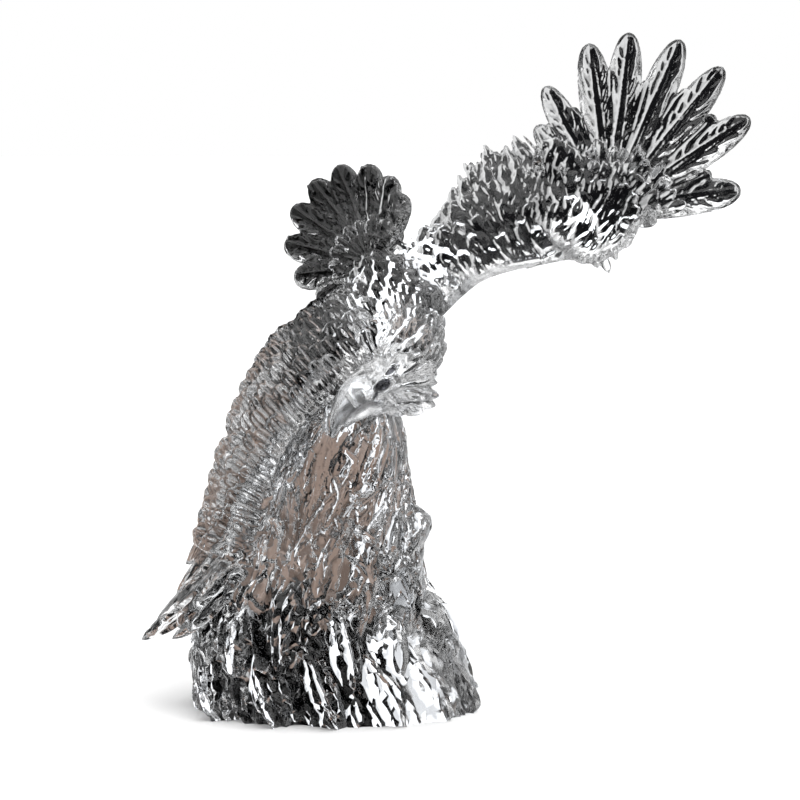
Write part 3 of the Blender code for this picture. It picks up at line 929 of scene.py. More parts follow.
@dataclass
class Head:
    """Head turned to its right: skull, hooked beak, lower bill, brow, eyes and throat feathers."""

    beak: Tuple[Vector, ...] = (at(15, -48, 175), at(8.5, -50, 170), at(2.5, -52, 161.5), at(-1, -53, 149.5))
    bill: Tuple[Vector, ...] = (at(18, -48, 167), at(10, -50, 162), at(4, -51, 156))
    throat: Tuple[Vector, ...] = (at(27, -43, 171), at(38, -39, 170.5), at(46.5, -36, 167.5))
    eye: Vector = field(default_factory=lambda: at(24.5, -57, 176.5))
    # Offset from the eye, lean in degrees, half length, half width and depth of each hollow.
    hollows: Tuple[Tuple[Vector, float, float, float, float], ...] = (
        (at(0, 0, 0), 33, 4.8 * MM, 3.1 * MM, 6.5 * MM),
        (at(4.5, 2, 7.5), 37, 4.2 * MM, 1.5 * MM, 4.0 * MM),
        (at(-3.5, 2, -5.0), 60, 2.6 * MM, 1.0 * MM, 3.0 * MM),
    )
    middle: Vector = field(default_factory=lambda: at(14, -50, 169))
    satin: Tuple[float, ...] = mm(18, 14, 19)
    # Depth in front of which the eye hollows get painted shade.
    painted_shade_back: float = -42 * MM
    # Root and tip of each lock of the throat.
    locks: Tuple[Tuple[Vector, Vector], ...] = (
        (at(24, -53, 166), at(36, -47, 161.5)),
        (at(32, -49, 165), at(45, -43, 162)),
        (at(38, -46, 168), at(51, -35, 164.5)),
        (at(40, -42, 172), at(53, -31, 169)),
        (at(38, -42, 178), at(52, -29, 175.5)),
    )

    def cast(self, mould: Mould) -> None:
        """Adds the head to the mould."""
        mould.lump(at(19.5, -46, 176), Vector((-0.85, 0, -0.5)), FRONT, mm(15, 11.5, 10.5))
        mould.limb(self.beak, mm(9, 7.5, 4.6, 1.2), mm(8, 6.5, 4.5, 1.2), FRONT)
        mould.limb(self.bill, mm(5.5, 4.5, 2), mm(6, 4.5, 2), FRONT)
        mould.limb(self.throat, mm(9, 8.5, 5), mm(9, 8.5, 6), FRONT)
        mould.lump(at(37, -35, 181), RIGHT, FRONT, mm(13, 13, 12))
        brow = Vector((-0.4, -1, 0.4))
        mould.blade(Blade(at(11, -54, 175), at(36, -47, 190), brow, 3.4 * MM, 2.8 * MM, base=0.6))
        jaw = [at(28, -46, 169), at(17, -50, 165.5), at(6, -51.5, 159.5)]
        mould.limb(jaw, mm(6.5, 5.5, 3), mm(7, 5.5, 3), FRONT)
        for root, tip in self.locks:
            mould.blade(Blade(root, tip, FRONT, 3.4 * MM, 2.6 * MM, base=0.7, shoulder=0.55, sharpness=0.8))
        rim = [self.eye + at(5.6 * cos(a) - 1.8 * sin(a), 2.2, 2.9 * sin(a) + 3.6 * cos(a))
               for a in (2.0 * pi * k / 12 for k in range(13))]
        mould.limb(rim, mm(0.9, 0.9), mm(0.9, 0.9), FRONT, rings=36, sides=8)
        mouth = [at(9, -58.0, 165.5), at(14, -58.5, 168), at(18, -58.0, 167), at(19.5, -57, 171)]
        mould.line(mouth, 0.7 * MM, FRONT, rings=20)

    def cover(self, mould: Mould, tree: BVHTree) -> None:
        """Lays the hackles that sweep back from the eye over the neck and the throat."""
        pelt = Pelt(1.5 * MM, 1.2 * MM, 11 * MM)
        look = Vector((0, 1, -0.12)).normalized()
        pelt.patch(mould, tree, at(14, -60, 189), look, mm(11, 6), mm(4.0, 5.0), lambda x, y: 118 - 30 * x)
        pelt.patch(mould, tree, at(38, -60, 183), look, mm(15, 21), mm(3.2, 5.5),
                   lambda x, y: degrees(atan2(6 + 21 * y, 14 + 15 * x)) + 8)

    @staticmethod
    def near(points: np.ndarray, middle: Vector, lean: float, long: float, short: float) -> np.ndarray:
        """Distance from the middle of a leaning oval seen from the front, 1 on its rim.

        Args:
            points: places, one a row.
            middle: middle of the oval.
            lean: rise of its long axis, in degrees.
            long: half of its length.
            short: half of its width.

        Returns:
            One squared distance for each place.
        """
        gap = points - np.array(middle, np.float32)
        axis = np.array((cos(radians(lean)), 0.0, sin(radians(lean))), np.float32)
        across = gap @ np.array((-axis[2], 0.0, axis[0]), np.float32)
        return (gap @ axis / long) ** 2 + (across / short) ** 2

    def carve(self, points: np.ndarray) -> np.ndarray:
        """Presses the almond-shaped eye and the slits by it into the skin.

        Args:
            points: the skin's points, one a row.

        Returns:
            The points, moved.
        """
        for offset, lean, long, short, depth in self.hollows:
            near = self.near(points, self.eye + offset, lean, long, short)
            inside = (near < 1.0) & (np.abs(points[:, 1] - self.eye.y - offset.y) < 14 * MM)
            points[inside, 1] += depth * (1.0 - near[inside] ** 2)
        return points

    def finish(self, points: np.ndarray) -> Tuple[np.ndarray, np.ndarray]:
        """Tells where the face is satin and where its hollows get painted shade.

        Args:
            points: the skin's points, one a row.

        Returns:
            Satin and painted shade shares, from 0 to 1, for each point.
        """
        gap = (points - np.array(self.middle, np.float32)) / np.array(self.satin, np.float32)
        satin = np.clip((1.25 - np.sqrt((gap * gap).sum(axis=1))) / 0.4, 0.0, 1.0)
        # Painted shade: the eye and the slits beside it are marked for a near-black base colour, standing in
        # for the dark that these hollows show.
        painted_shade = np.zeros(len(points), np.float32)
        on_face = (satin > 0.0) * (points[:, 1] < self.painted_shade_back)
        for offset, lean, long, short, _ in self.hollows:
            near = self.near(points, self.eye + offset, lean, long, short)
            painted_shade = np.maximum(painted_shade, np.clip((1.1 - near) / 0.4, 0.0, 1.0) * on_face)
        return satin.astype(np.float32), painted_shade.astype(np.float32)


@dataclass
class Rock:
    """Column of rock: a pleated foot, a crown of flame-like shards and tall leaning strands."""

    # Height, middle (x and y) and half width and half depth at each level, in millimetres.
    levels: Tuple[Row, ...] = (
        (-8, 3, 0, 73, 45),
        (6, 0, 0, 71, 45),
        (22, -10, 0, 61, 44),
        (38, -16, 0, 57, 43),
        (52, -15, 0, 51, 41),
        (68, -10, 0, 44, 38),
        (90, -5, 0, 37, 33),
        (118, 0, 0, 34, 30),
        (138, 7, -2, 27, 27),
        (154, 11, 0, 16, 20),
        (172, 14, 4, 10, 14),
        (196, 22, 8, 9, 11),
    )
    # Count, root height, tip height, root swell, tip swell, share of the flow, scatter, half width,
    # half thickness, sharpness of the tip, seed.
    rings: Tuple[Row, ...] = (
        (26, -8, 22, 0.98, 1.01, 0.0, 0.10, 9.5, 4.0, 0.8, 11),
        (17, 2, 36, 0.96, 1.04, 0.1, 0.20, 8.0, 4.5, 0.8, 17),
        (15, 14, 56, 0.92, 1.12, -0.2, 0.26, 6.0, 4.5, 1.0, 29),
        (17, 34, 94, 0.96, 1.10, 0.5, 0.12, 6.0, 4.5, 1.0, 47),
        (17, 62, 122, 0.97, 1.08, 1.0, 0.12, 5.5, 4.5, 1.0, 71),
        (15, 96, 148, 0.97, 1.07, 1.0, 0.12, 5.0, 4.0, 1.0, 97),
        (11, 122, 164, 0.95, 1.07, 0.8, 0.12, 4.5, 4.0, 1.0, 131),
    )
    # Turn in degrees, root height, tip height, tip swell and half width of each large shard.
    shards: Tuple[Row, ...] = (
        (-158, 30, 72, 1.16, 8.5), (-128, 24, 60, 1.15, 7.0), (-103, 28, 78, 1.14, 9.5),
        (-76, 18, 62, 1.18, 8.0), (-50, 22, 62, 1.22, 8.5), (-34, 42, 84, 1.22, 8.0),
        (-20, 24, 62, 1.42, 8.5), (8, 20, 60, 1.25, 8.0), (-142, -4, 34, 1.04, 8.0),
        (-114, -4, 40, 1.05, 8.5), (-90, -4, 44, 1.06, 7.5), (-64, -4, 38, 1.06, 8.5),
        (-40, -4, 36, 1.06, 8.0), (-18, -4, 30, 1.05, 8.0),
    )
    shard_thick: float = 8.5 * MM
    web: Tuple[Vector, ...] = (
        at(4, -2, 180), at(-12, -6, 160), at(-24, -9, 136), at(-36, -10, 110), at(-44, -9, 84),
        at(-50, -6, 60),
    )
    flow_turn: float = radians(35)
    wing_strands: int = 4

    def point(self, height: float, turn: float, swell: float) -> Vector:
        """Point at a height, a turn round the column and a share of its radius."""
        heights = [row[0] * MM for row in self.levels]
        top = len(heights) - 1
        i = max(k for k in range(top) if heights[k] <= max(height, heights[0]))
        share = (i + min((height - heights[i]) / (heights[i + 1] - heights[i]), 1.0)) / top
        x, y, width, depth = (spline([row[k] * MM for row in self.levels], share) for k in (1, 2, 3, 4))
        return Vector((x + width * swell * cos(turn), y + depth * swell * sin(turn), height))

    def flow(self, turn: float) -> float:
        """Sideways lean of the strands, strongest on the front right of the column."""
        return 0.08 + 0.55 * max(0.0, cos(turn + self.flow_turn))

    def ring(self, mould: Mould, ring: Row) -> None:
        """Adds a ring of pointed blades standing against the column."""
        count, root_z, tip_z, root_swell, tip_swell, flowing, scatter, *shape = ring
        half_width, half_thick, sharpness, seed = shape
        for i in range(int(count)):
            turn = 2.0 * pi * i / count + 0.10 * noise(seed + i)
            behind = sin(turn) > 0.35
            if behind and i % 2:
                continue
            vary = noise(seed * 3 + i * 5)
            root = self.point(root_z * MM, turn, root_swell)
            height = (tip_z + 0.20 * (tip_z - root_z) * vary) * MM
            tip_turn = turn + flowing * self.flow(turn) + scatter * noise(seed + 3 * i)
            tip = self.point(height, tip_turn, tip_swell + 0.04 * noise(seed + 9 * i))
            width = half_width * MM * (1 + 0.25 * vary) * (2.0 if behind else 1.0)
            thick = half_thick * MM * (0.8 if behind else 1.0)
            mould.blade(Blade(root, tip, outward(turn, 0.15), width, thick, base=0.75, shoulder=0.45,
                              sharpness=sharpness, sweep=0.06 * vary, lift=0.05,
                              shaft=0.0 if behind else 0.5), rings=24, sides=24, kind=Grain.STRANDS)

    def cover(self, mould: Mould, tree: BVHTree) -> None:
        """Lays fine strands all round the column, leaning with the flow, and chips between the shards."""
        strand = Pelt(2.2 * MM, 1.8 * MM, 36 * MM, proud=0.5 * MM, wander=0.3, kind=Grain.STRANDS)
        chip = Pelt(2.3 * MM, 2.0 * MM, 15 * MM, proud=0.8 * MM, wander=0.9, kind=Grain.STRANDS)
        for turn in range(0, 181, 60):
            look = outward(radians(turn), 0.0)
            lean = 18 if 30 < turn < 150 else 6
            seen = 1.0 if 0 < turn < 180 else 1.4
            if 0 < turn < 180:
                chip.patch(mould, tree, at(-4, 0, 28), look, mm(64, 34), mm(9.0, 11.0),
                           lambda x, y: 90 - 25 * x)
            strand.patch(mould, tree, at(0, 0, 98), look, mm(46, 62), mm(8.0 * seen, 20 * seen),
                         lambda x, y: 84 - lean * (x + 0.6 * y + 0.4))

    def tie(self, mould: Mould, lead: Sequence[Vector]) -> None:
        """Adds the web and strands that tie the underside of the lowered wing to the rock."""
        mould.limb(self.web, mm(10, 14), mm(9, 14), Vector((-0.5, -0.8, 0.3)), kind=Grain.STRANDS)
        radii = mm(3.5, 5, 3.5)
        for i in range(self.wing_strands):
            offset = at(4 + 6.5 * i, 3 - i, -5 - i)
            strand = [spline(lead, 0.14 + 0.04 * i + 0.12 * k) + offset for k in range(8)]
            mould.limb(strand, radii, radii, Vector((-0.3, -1, 0.2)), kind=Grain.STRANDS)

    def cast(self, mould: Mould) -> None:
        """Adds the rock to the mould."""
        middles = [at(row[1], row[2], row[0]) for row in self.levels]
        widths = [row[3] * MM for row in self.levels]
        depths = [row[4] * MM for row in self.levels]
        mould.limb(middles, widths, depths, FRONT, rings=72, sides=56, blunt=0.02, kind=Grain.STRANDS)
        for ring in self.rings:
            self.ring(mould, ring)
        for turn, root_z, tip_z, swell, half_width in self.shards:
            root = self.point(root_z * MM, radians(turn), 0.95)
            tip = self.point(tip_z * MM, radians(turn), swell)
            face = outward(radians(turn), 0.2)
            mould.blade(Blade(root, tip, face, half_width * MM, self.shard_thick, base=0.6, shoulder=0.4,
                              sharpness=1.0, lift=0.10, shaft=0.4, flutes=3, flute_depth=0.22),
                        rings=28, sides=40, kind=Grain.STRANDS)
        knob_face = Vector((0.7, -0.7, 0.2))
        mould.blade(Blade(at(34, -12, 78), at(46, -8, 104), knob_face, 6 * MM, 5 * MM, base=0.8),
                    kind=Grain.STRANDS)


@dataclass(frozen=True)
class CrystalFinish:
    """Clear, colourless, polished crystal with a faint ripple, satin where the mesh says so and darkened by
    painted shade where the mesh marks it.
    """

    tint: Colour = (0.97, 0.975, 0.98, 1.0)
    # Painted shade: near-black base colour standing in for the dark that the eye hollows and grooves show.
    painted_shade: Colour = (0.01, 0.01, 0.012, 1.0)
    roughness: float = 0.02
    satin: float = 0.2
    index: float = 1.52
    ripple_scale: float = 260.0
    ripple_height: float = 0.05 * MM

    def material(self) -> bpy.types.Material:
        """Makes the crystal material."""
        material = bpy.data.materials.new(SLOT)
        material.use_nodes = True
        tree = material.node_tree
        shader = tree.nodes["Principled BSDF"]
        shader.inputs["Metallic"].default_value = 0.0
        shader.inputs["IOR"].default_value = self.index
        shader.inputs["Transmission Weight"].default_value = 1.0
        satin, painted_shade = (self.mark(tree, name) for name in (SATIN, PAINTED_SHADE))
        rough = math(tree, "MULTIPLY_ADD", satin, self.satin - self.roughness, self.roughness)
        tree.links.new(rough, shader.inputs["Roughness"])
        # Painted shade: the base colour turns near black where the mesh marks the eye hollows and grooves.
        tree.links.new(blend(tree, painted_shade, self.tint, self.painted_shade), shader.inputs["Base Color"])
        place = tree.nodes.new("ShaderNodeTexCoord")
        ripple = tree.nodes.new("ShaderNodeTexNoise")
        ripple.inputs["Scale"].default_value = self.ripple_scale
        ripple.inputs["Detail"].default_value = 2.0
        tree.links.new(place.outputs["Object"], ripple.inputs["Vector"])
        bump = tree.nodes.new("ShaderNodeBump")
        bump.inputs["Strength"].default_value = 1.0
        bump.inputs["Distance"].default_value = self.ripple_height
        tree.links.new(ripple.outputs["Fac"], bump.inputs["Height"])
        tree.links.new(bump.outputs["Normal"], shader.inputs["Normal"])
        return material

    @staticmethod
    def mark(tree: bpy.types.NodeTree, name: str) -> bpy.types.NodeSocket:
        """Adds a node that reads what is kept on the mesh under the name, and returns its output."""
        node = tree.nodes.new("ShaderNodeAttribute")
        node.attribute_name = name
        return node.outputs["Fac"]


@dataclass(frozen=True)
class Frost:
    """A softly bounded place where the crystal is partly satin."""

    middle: Vector
    radii: Vector
    share: float

    def satin(self, points: np.ndarray) -> np.ndarray:
        """Satin share at each point, from 0 to 1."""
        gap = (points - np.array(self.middle, np.float32)) / np.array(self.radii, np.float32)
        return self.share * np.clip((1.3 - np.sqrt((gap * gap).sum(axis=1))) / 0.6, 0.0, 1.0)


@dataclass
class Casting:
    """The whole figurine: heaps every form, fuses them, cuts the rock and thins the skin.

    Below chip_top, over a height of chip_blend, the large facets of the rock give way to small chips.
    Over a depth of smooth_back the cuts fade out towards the back. The skin is coarsest in the foot.
    """

    voxel: float = 0.65 * MM
    triangles: int = 198000
    cleft_pitch: float = 4.5 * MM
    cleft_depth: float = 0.5 * MM
    cleft_wander: float = 1.2
    cleft_bend: float = 9 * MM
    facet_size: Tuple[float, ...] = mm(10.0, 10.0, 32.0)
    facet_depth: float = 2.0 * MM
    chip_size: Tuple[float, ...] = mm(7.0, 7.0, 15.0)
    chip_depth: float = 1.3 * MM
    chip_top: float = 52 * MM
    chip_blend: float = 16 * MM
    smooth_back: float = 16 * MM
    foot: float = 60 * MM
    flat: float = 1e-5
    crisp: float = radians(32)
    groove_steps: int = 6
    groove_depth: float = 0.3 * MM
    # Share of painted shade, a near-black base colour, laid into the grooves by their depth.
    groove_painted_shade: float = 0.7
    frosts: Tuple[Frost, ...] = (
        Frost(at(46, -30, 198), at(28, 36, 34), 1.0),
        Frost(at(70, -32, 222), at(26, 34, 15), 0.9),
        Frost(at(98, -34, 236), at(26, 34, 12), 0.9),
        Frost(at(54, -40, 20), at(28, 44, 36), 0.9),
    )
    fit_reach: float = 25.0 * MM
    fit_margin: float = 0.1 * MM
    hidden_weight: float = 1.0
    seen_weight: float = 0.25
    finish: CrystalFinish = field(default_factory=CrystalFinish)
    left: Wing = field(default_factory=lambda: Wing(
        [at(40, -10, 193), at(60, -14, 215), at(76, -17, 227.5), at(95, -19, 233), at(113, -21, 236.5),
         at(131, -21, 240.5)],
        [at(31, 18, 239), at(53, 19, 261), at(63, 20, 277), at(73, 20, 290), at(86, 18, 297),
         at(99, 14, 298)],
        1,
        ((0.40, 1.00, 22, 1.8, 0.0), (0.34, 0.84, 24, 1.8, 1.4), (0.20, 0.66, 22, 1.8, 2.0),
         (0.10, 0.46, 20, 1.8, 2.0), (0.02, 0.26, 18, 1.8, 1.8)),
        edge=3.4 * MM, shown=-1, ragged=0.08, flutes=0,
    ))
    right: Wing = field(default_factory=lambda: Wing(
        [at(26, -14, 195), at(6, -22, 178), at(-9, -26, 166), at(-24, -28, 149), at(-35, -30, 126),
         at(-40, -30, 103), at(-46, -28, 83)],
        [at(8, 19, 226), at(-20, 21, 206), at(-38, 21, 190), at(-48, 19, 170), at(-57, 16, 144),
         at(-66, 13, 118), at(-74, 6, 90)],
        -1,
        ((0.54, 1.00, 17, 2.6, 0.0), (0.44, 0.88, 17, 2.6, 3.6), (0.33, 0.74, 16, 2.8, 4.4),
         (0.22, 0.60, 16, 2.8, 4.4), (0.12, 0.46, 16, 2.8, 4.2), (0.03, 0.32, 16, 2.8, 3.6),
         (-0.06, 0.18, 16, 2.6, 2.6)),
        ragged=0.05, flutes=3, flute_depth=0.5,
    ))
    # Root, tip and half width of each long feather at the tip of the lowered wing.
    primaries: Tuple[Tuple[Vector, Vector, float], ...] = (
        (at(-44, -28, 95), at(-104, -13, 38), 8.5 * MM),
        (at(-50, -20, 99), at(-97, -8, 45), 7.5 * MM),
        (at(-54, -12, 103), at(-85, -3, 61), 7.0 * MM),
        (at(-58, -4, 111), at(-80, 2, 75), 7.0 * MM),
        (at(-48, -30, 79), at(-86, -20, 40), 6.0 * MM),
    )

    def forms(self) -> Mould:
        """Heaps every feather, limb and shard."""
        mould = Mould()
        rock = Rock()
        rock.cast(mould)
        rock.tie(mould, self.right.lead)
        rock.cover(mould, BVHTree.FromBMesh(mould.form))
        LOG.info("rock: %d points", len(mould.grain))
        body, head, hand, tail = Body(), Head(), LeftHand(), Tail()
        for part in (body, head, self.left, self.right, hand, tail):
            part.cast(mould)
        face = Vector((-0.65, -0.6, 0.45))
        for root, tip, half_width in self.primaries:
            mould.blade(Blade(root, tip, face, half_width, 2.6 * MM, base=0.7, shoulder=0.5, sharpness=0.75,
                              sweep=-0.06, shaft=0.4, flutes=5, flute_depth=0.2), rings=32, sides=36)
        tree = BVHTree.FromBMesh(mould.form)
        for part in (body, head, hand, tail):
            part.cover(mould, tree)
        pelt = Pelt(0.95 * MM, 1.4 * MM, 11 * MM, proud=0.55 * MM, wander=0.3)
        self.left.cover(mould, tree, (Vector((0, 1, -0.1)), FRONT), mm(56, 34), pelt)
        LOG.info("mould: %d points", len(mould.grain))
        return mould

    def fuse(self, source: bpy.types.Object) -> bpy.types.Mesh:
        """Fuses the heap into one skin."""
        skin = source.modifiers.new("Fuse", "REMESH")
        skin.mode = "VOXEL"
        skin.voxel_size = self.voxel
        mesh = modified(source)
        source.modifiers.clear()
        return mesh

    @staticmethod
    def grain_at(points: np.ndarray, mould: Mould, tree: BVHTree) -> np.ndarray:
        """Reads the grain of the nearest form.

        Args:
            points: places, one a row.
            mould: forms with their grain.
            tree: finds the face nearest to a point.

        Returns:
            Offset from the form's middle, and 1 where strands are cut or else 0, for each place.
        """
        corners = [[vertex.index for vertex in face.verts] for face in mould.form.faces]
        source = np.array([tuple(vertex.co) for vertex in mould.form.verts], np.float32)
        kept = np.array(mould.grain, np.float32)
        grain = np.zeros((len(points), 2), np.float32)
        near = [tree.find_nearest(point)[2] for point in points.tolist()]
        sizes = np.array([len(corners[face]) for face in near])
        for size in (3, 4):
            rows = np.nonzero(sizes == size)[0]
            if not len(rows):
                continue
            faces = np.array([corners[near[i]] for i in rows])
            gaps = np.linalg.norm(source[faces] - points[rows][:, None, :], axis=2)
            weights = 1.0 / (gaps + 1e-5) ** 2
            weights /= weights.sum(axis=1, keepdims=True)
            grain[rows] = (kept[faces] * weights[:, :, None]).sum(axis=1)
        return grain

    def cut_grain(self, mesh: bpy.types.Mesh, mould: Mould, tree: BVHTree) -> None:
        """Cuts clefts and facets into the rock, and the eye into the head.

        Args:
            mesh: the fused skin, changed in place.
            mould: forms with their grain.
            tree: finds the form nearest to a point.
        """
        points, normals = skin_of(mesh)
        grain = self.grain_at(points, mould, tree)
        strand = grain[:, 0] / self.cleft_pitch + self.cleft_wander * cloud(points, self.cleft_bend)
        cleft = 1.0 - np.abs(2.0 * (strand % 1.0) - 1.0)
        depth = self.cleft_depth * cleft**3
        rocky = grain[:, 1] > 0.5
        low = np.clip((self.chip_top - points[rocky, 2]) / self.chip_blend, 0.0, 1.0)
        broad = self.facet_depth * facets(points[rocky], self.facet_size)
        small = self.chip_depth * facets(points[rocky], self.chip_size)
        depth[rocky] += broad + (small - broad) * low
        depth[~rocky] = 0.0
        depth *= np.clip(0.7 - points[:, 1] / self.smooth_back, 0.0, 1.0)
        points = Head().carve(points - normals * depth[:, None])
        mesh.vertices.foreach_set("co", points.ravel())
        mesh.update()

    def thin(self, source: bpy.types.Object) -> bpy.types.Mesh:
        """Thins the skin to the triangles that the piece may have, least where it is seen most."""
        points, normals = skin_of(source.data)
        seen = np.clip(0.6 - 1.2 * normals[:, 1], 0.0, 1.0)
        eagle = np.clip((points[:, 2] - self.foot) / self.foot, 0.3, 1.0)
        weights = self.hidden_weight + (self.seen_weight - self.hidden_weight) * seen * eagle
        group = source.vertex_groups.new(name="thin")
        steps = 12
        rank = np.clip((weights * steps).astype(int), 1, steps)
        for step in range(1, steps + 1):
            group.add(np.nonzero(rank == step)[0].tolist(), step / steps, "REPLACE")
        thinner = source.modifiers.new("Thin", "DECIMATE")
        thinner.ratio = min(self.triangles / (2.0 * len(source.data.polygons)), 1.0)
        thinner.vertex_group = group.name
        thinner.vertex_group_factor = 1.0
        return modified(source)

    def flatten_underside(self, mesh: bpy.types.Mesh) -> None:
        """Cuts everything below the underside away and closes the cut with a flat face."""
        form = bmesh.new()
        form.from_mesh(mesh)
        everything = form.verts[:] + form.edges[:] + form.faces[:]
        bmesh.ops.bisect_plane(form, geom=everything, dist=1e-6, plane_no=(0, 0, 1), clear_inner=True)
        rim = [edge for edge in form.edges if edge.is_boundary]
        bmesh.ops.holes_fill(form, edges=rim, sides=0)
        bmesh.ops.triangulate(form, faces=form.faces[:])
        bmesh.ops.recalc_face_normals(form, faces=form.faces[:])
        for polygon in form.faces:
            polygon.smooth = polygon.normal.z > -0.999 or polygon.calc_center_median().z > self.flat
        form.to_mesh(mesh)
        form.free()

    @staticmethod
    def keep_whole(mesh: bpy.types.Mesh) -> None:
        """Keeps the one large closed skin and drops specks and hidden pockets."""
        form = bmesh.new()
        form.from_mesh(mesh)
        met = set()
        largest: List[bmesh.types.BMVert] = []
        for start in form.verts:
            part = [] if start in met else [start]
            met.add(start)
            for vert in part:
                for edge in vert.link_edges:
                    other = edge.other_vert(vert)
                    if other not in met:
                        met.add(other)
                        part.append(other)
            largest = max(largest, part, key=len)
        kept = set(largest)
        bmesh.ops.delete(form, geom=[vert for vert in form.verts if vert not in kept], context="VERTS")
        pinched = [edge for edge in form.edges if not edge.is_manifold]
        while pinched:
            bmesh.ops.collapse(form, edges=pinched)
            pinched = [edge for edge in form.edges if not edge.is_manifold]
        form.to_mesh(mesh)
        form.free()

    def crispen(self, mesh: bpy.types.Mesh, mould: Mould, tree: BVHTree) -> None:
        """Keeps the edges of the rock's facets sharp, and the eagle smooth."""
        mesh.set_sharp_from_angle(angle=self.crisp)
        points, _ = skin_of(mesh)
        rocky = self.grain_at(points, mould, tree)[:, 1] > 0.5
        under = points[:, 2] < self.flat
        ends = ends_of(mesh)
        sharp = np.empty(len(ends), bool)
        mesh.attributes["sharp_edge"].data.foreach_get("value", sharp)
        sharp &= rocky[ends].all(axis=1) | under[ends].any(axis=1)
        mesh.attributes["sharp_edge"].data.foreach_set("value", sharp)

    def grooves(self, mesh: bpy.types.Mesh) -> np.ndarray:
        """Tells how deep each point lies in a groove, from 0 to 1."""
        points, normals = skin_of(mesh)
        ends = ends_of(mesh)
        pairs = np.concatenate((ends, ends[:, ::-1]))
        count = np.bincount(pairs[:, 0], minlength=len(points))[:, None]
        even = points.astype(float)
        for _ in range(self.groove_steps):
            total = [np.bincount(pairs[:, 0], even[pairs[:, 1], axis], len(points)) for axis in range(3)]
            even = 0.5 * even + 0.5 * np.stack(total, axis=1) / count
        return np.clip(((even - points) * normals).sum(axis=1) / self.groove_depth, 0.0, 1.0)

    def mark(self, mesh: bpy.types.Mesh) -> None:
        """Keeps on the mesh where it is satin and where painted shade darkens it, for the finish."""
        points, _ = skin_of(mesh)
        satin, painted_shade = Head().finish(points)
        # Painted shade: the grooves get a near-black base colour, standing in for the dark lines that they
        # show.
        painted_shade = np.maximum(painted_shade, self.groove_painted_shade * self.grooves(mesh)).astype(np.float32)
        for frost in self.frosts:
            satin = np.maximum(satin, frost.satin(points)).astype(np.float32)
        for name, share in ((SATIN, satin), (PAINTED_SHADE, painted_shade)):
            attribute = mesh.attributes.new(name, "FLOAT", "POINT")
            attribute.data.foreach_set("value", share)

    def fit(self, mesh: bpy.types.Mesh, box: Sequence[Sequence[float]]) -> None:
        """Draws the outermost skin in, so that it stays inside the solid's box.

        Args:
            mesh: the finished skin.
            box: lowest and highest corners of the solid.
        """
        points, _ = skin_of(mesh)
        for axis, side in ((0, -1), (0, 1), (1, -1), (1, 1), (2, 1)):
            reach = points[:, axis] * side
            limit = box[(side + 1) // 2][axis] * side - self.fit_margin
            excess = float(reach.max()) - limit
            LOG.info("past the box on axis %d, side %d: %.2f mm", axis, side, excess / MM)
            if excess > 0.0:
                knee = limit - self.fit_reach
                outer = reach > knee
                reach[outer] = knee + (reach[outer] - knee) * self.fit_reach / (self.fit_reach + excess)
                points[:, axis] = reach * side
        mesh.vertices.foreach_set("co", points.ravel())
        mesh.update()

    def build(self, box: Sequence[Sequence[float]]) -> bpy.types.Object:
        """Makes the finished piece inside the solid's box and returns it."""
        mould = self.forms()
        heap = bpy.data.meshes.new("heap")
        mould.form.to_mesh(heap)
        source = placed("heap", heap)
        skin = self.fuse(source)
        LOG.info("skin: %d faces", len(skin.polygons))
        tree = BVHTree.FromBMesh(mould.form)
        self.cut_grain(skin, mould, tree)
        source.data = skin
        mesh = self.thin(source)
        bpy.data.objects.remove(source)
        self.flatten_underside(mesh)
        self.keep_whole(mesh)
        self.mark(mesh)
        self.crispen(mesh, mould, tree)
        self.fit(mesh, box)
        mould.form.free()
        mesh.name = "crystal_eagle"
        piece = placed("crystal_eagle", mesh)
        mesh.materials.clear()
        mesh.materials.append(self.finish.material())
        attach(piece, "root")
        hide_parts(NODE)
        LOG.info("crystal_eagle: %d triangles", len(mesh.polygons))
        return piece


@dataclass(frozen=True)
class Panel:
    """Soft panel of light round the crystal, by its middle direction and half spans in degrees.

    Soft is the width of its blurred rim. Bars, where there are any, cut it into upright bands that
    stand that many degrees apart.
    """

    azimuth: float
    elevation: float
    half_width: float
    half_height: float
    power: float
    soft: float = 6.0
    bars: float = 0.0

    def mask(self, tree: bpy.types.NodeTree, azimuth: bpy.types.NodeSocket,
             elevation: bpy.types.NodeSocket) -> bpy.types.NodeSocket:
        """Adds the nodes that tell whether a direction meets the panel.

        Args:
            tree: node tree that takes them.
            azimuth: direction's turn from +X, in radians.
            elevation: direction's rise, in radians.

        Returns:
            Socket that is 1 inside the panel and 0 outside it.
        """
        turn = math(tree, "SUBTRACT", azimuth, radians(self.azimuth))
        turn = math(tree, "WRAP", turn, pi, -pi)
        sides = []
        rise = math(tree, "SUBTRACT", elevation, radians(self.elevation))
        for gap, half in ((turn, self.half_width), (rise, self.half_height)):
            gap = math(tree, "ABSOLUTE", gap)
            sides.append(ramp(tree, gap, radians(half + self.soft / 2), radians(half - self.soft / 2)))
        mask = math(tree, "MULTIPLY", *sides)
        if not self.bars:
            return mask
        wave = math(tree, "SINE", math(tree, "MULTIPLY", turn, 360.0 / self.bars))
        return math(tree, "MULTIPLY", mask, ramp(tree, wave, -0.9, -0.5))


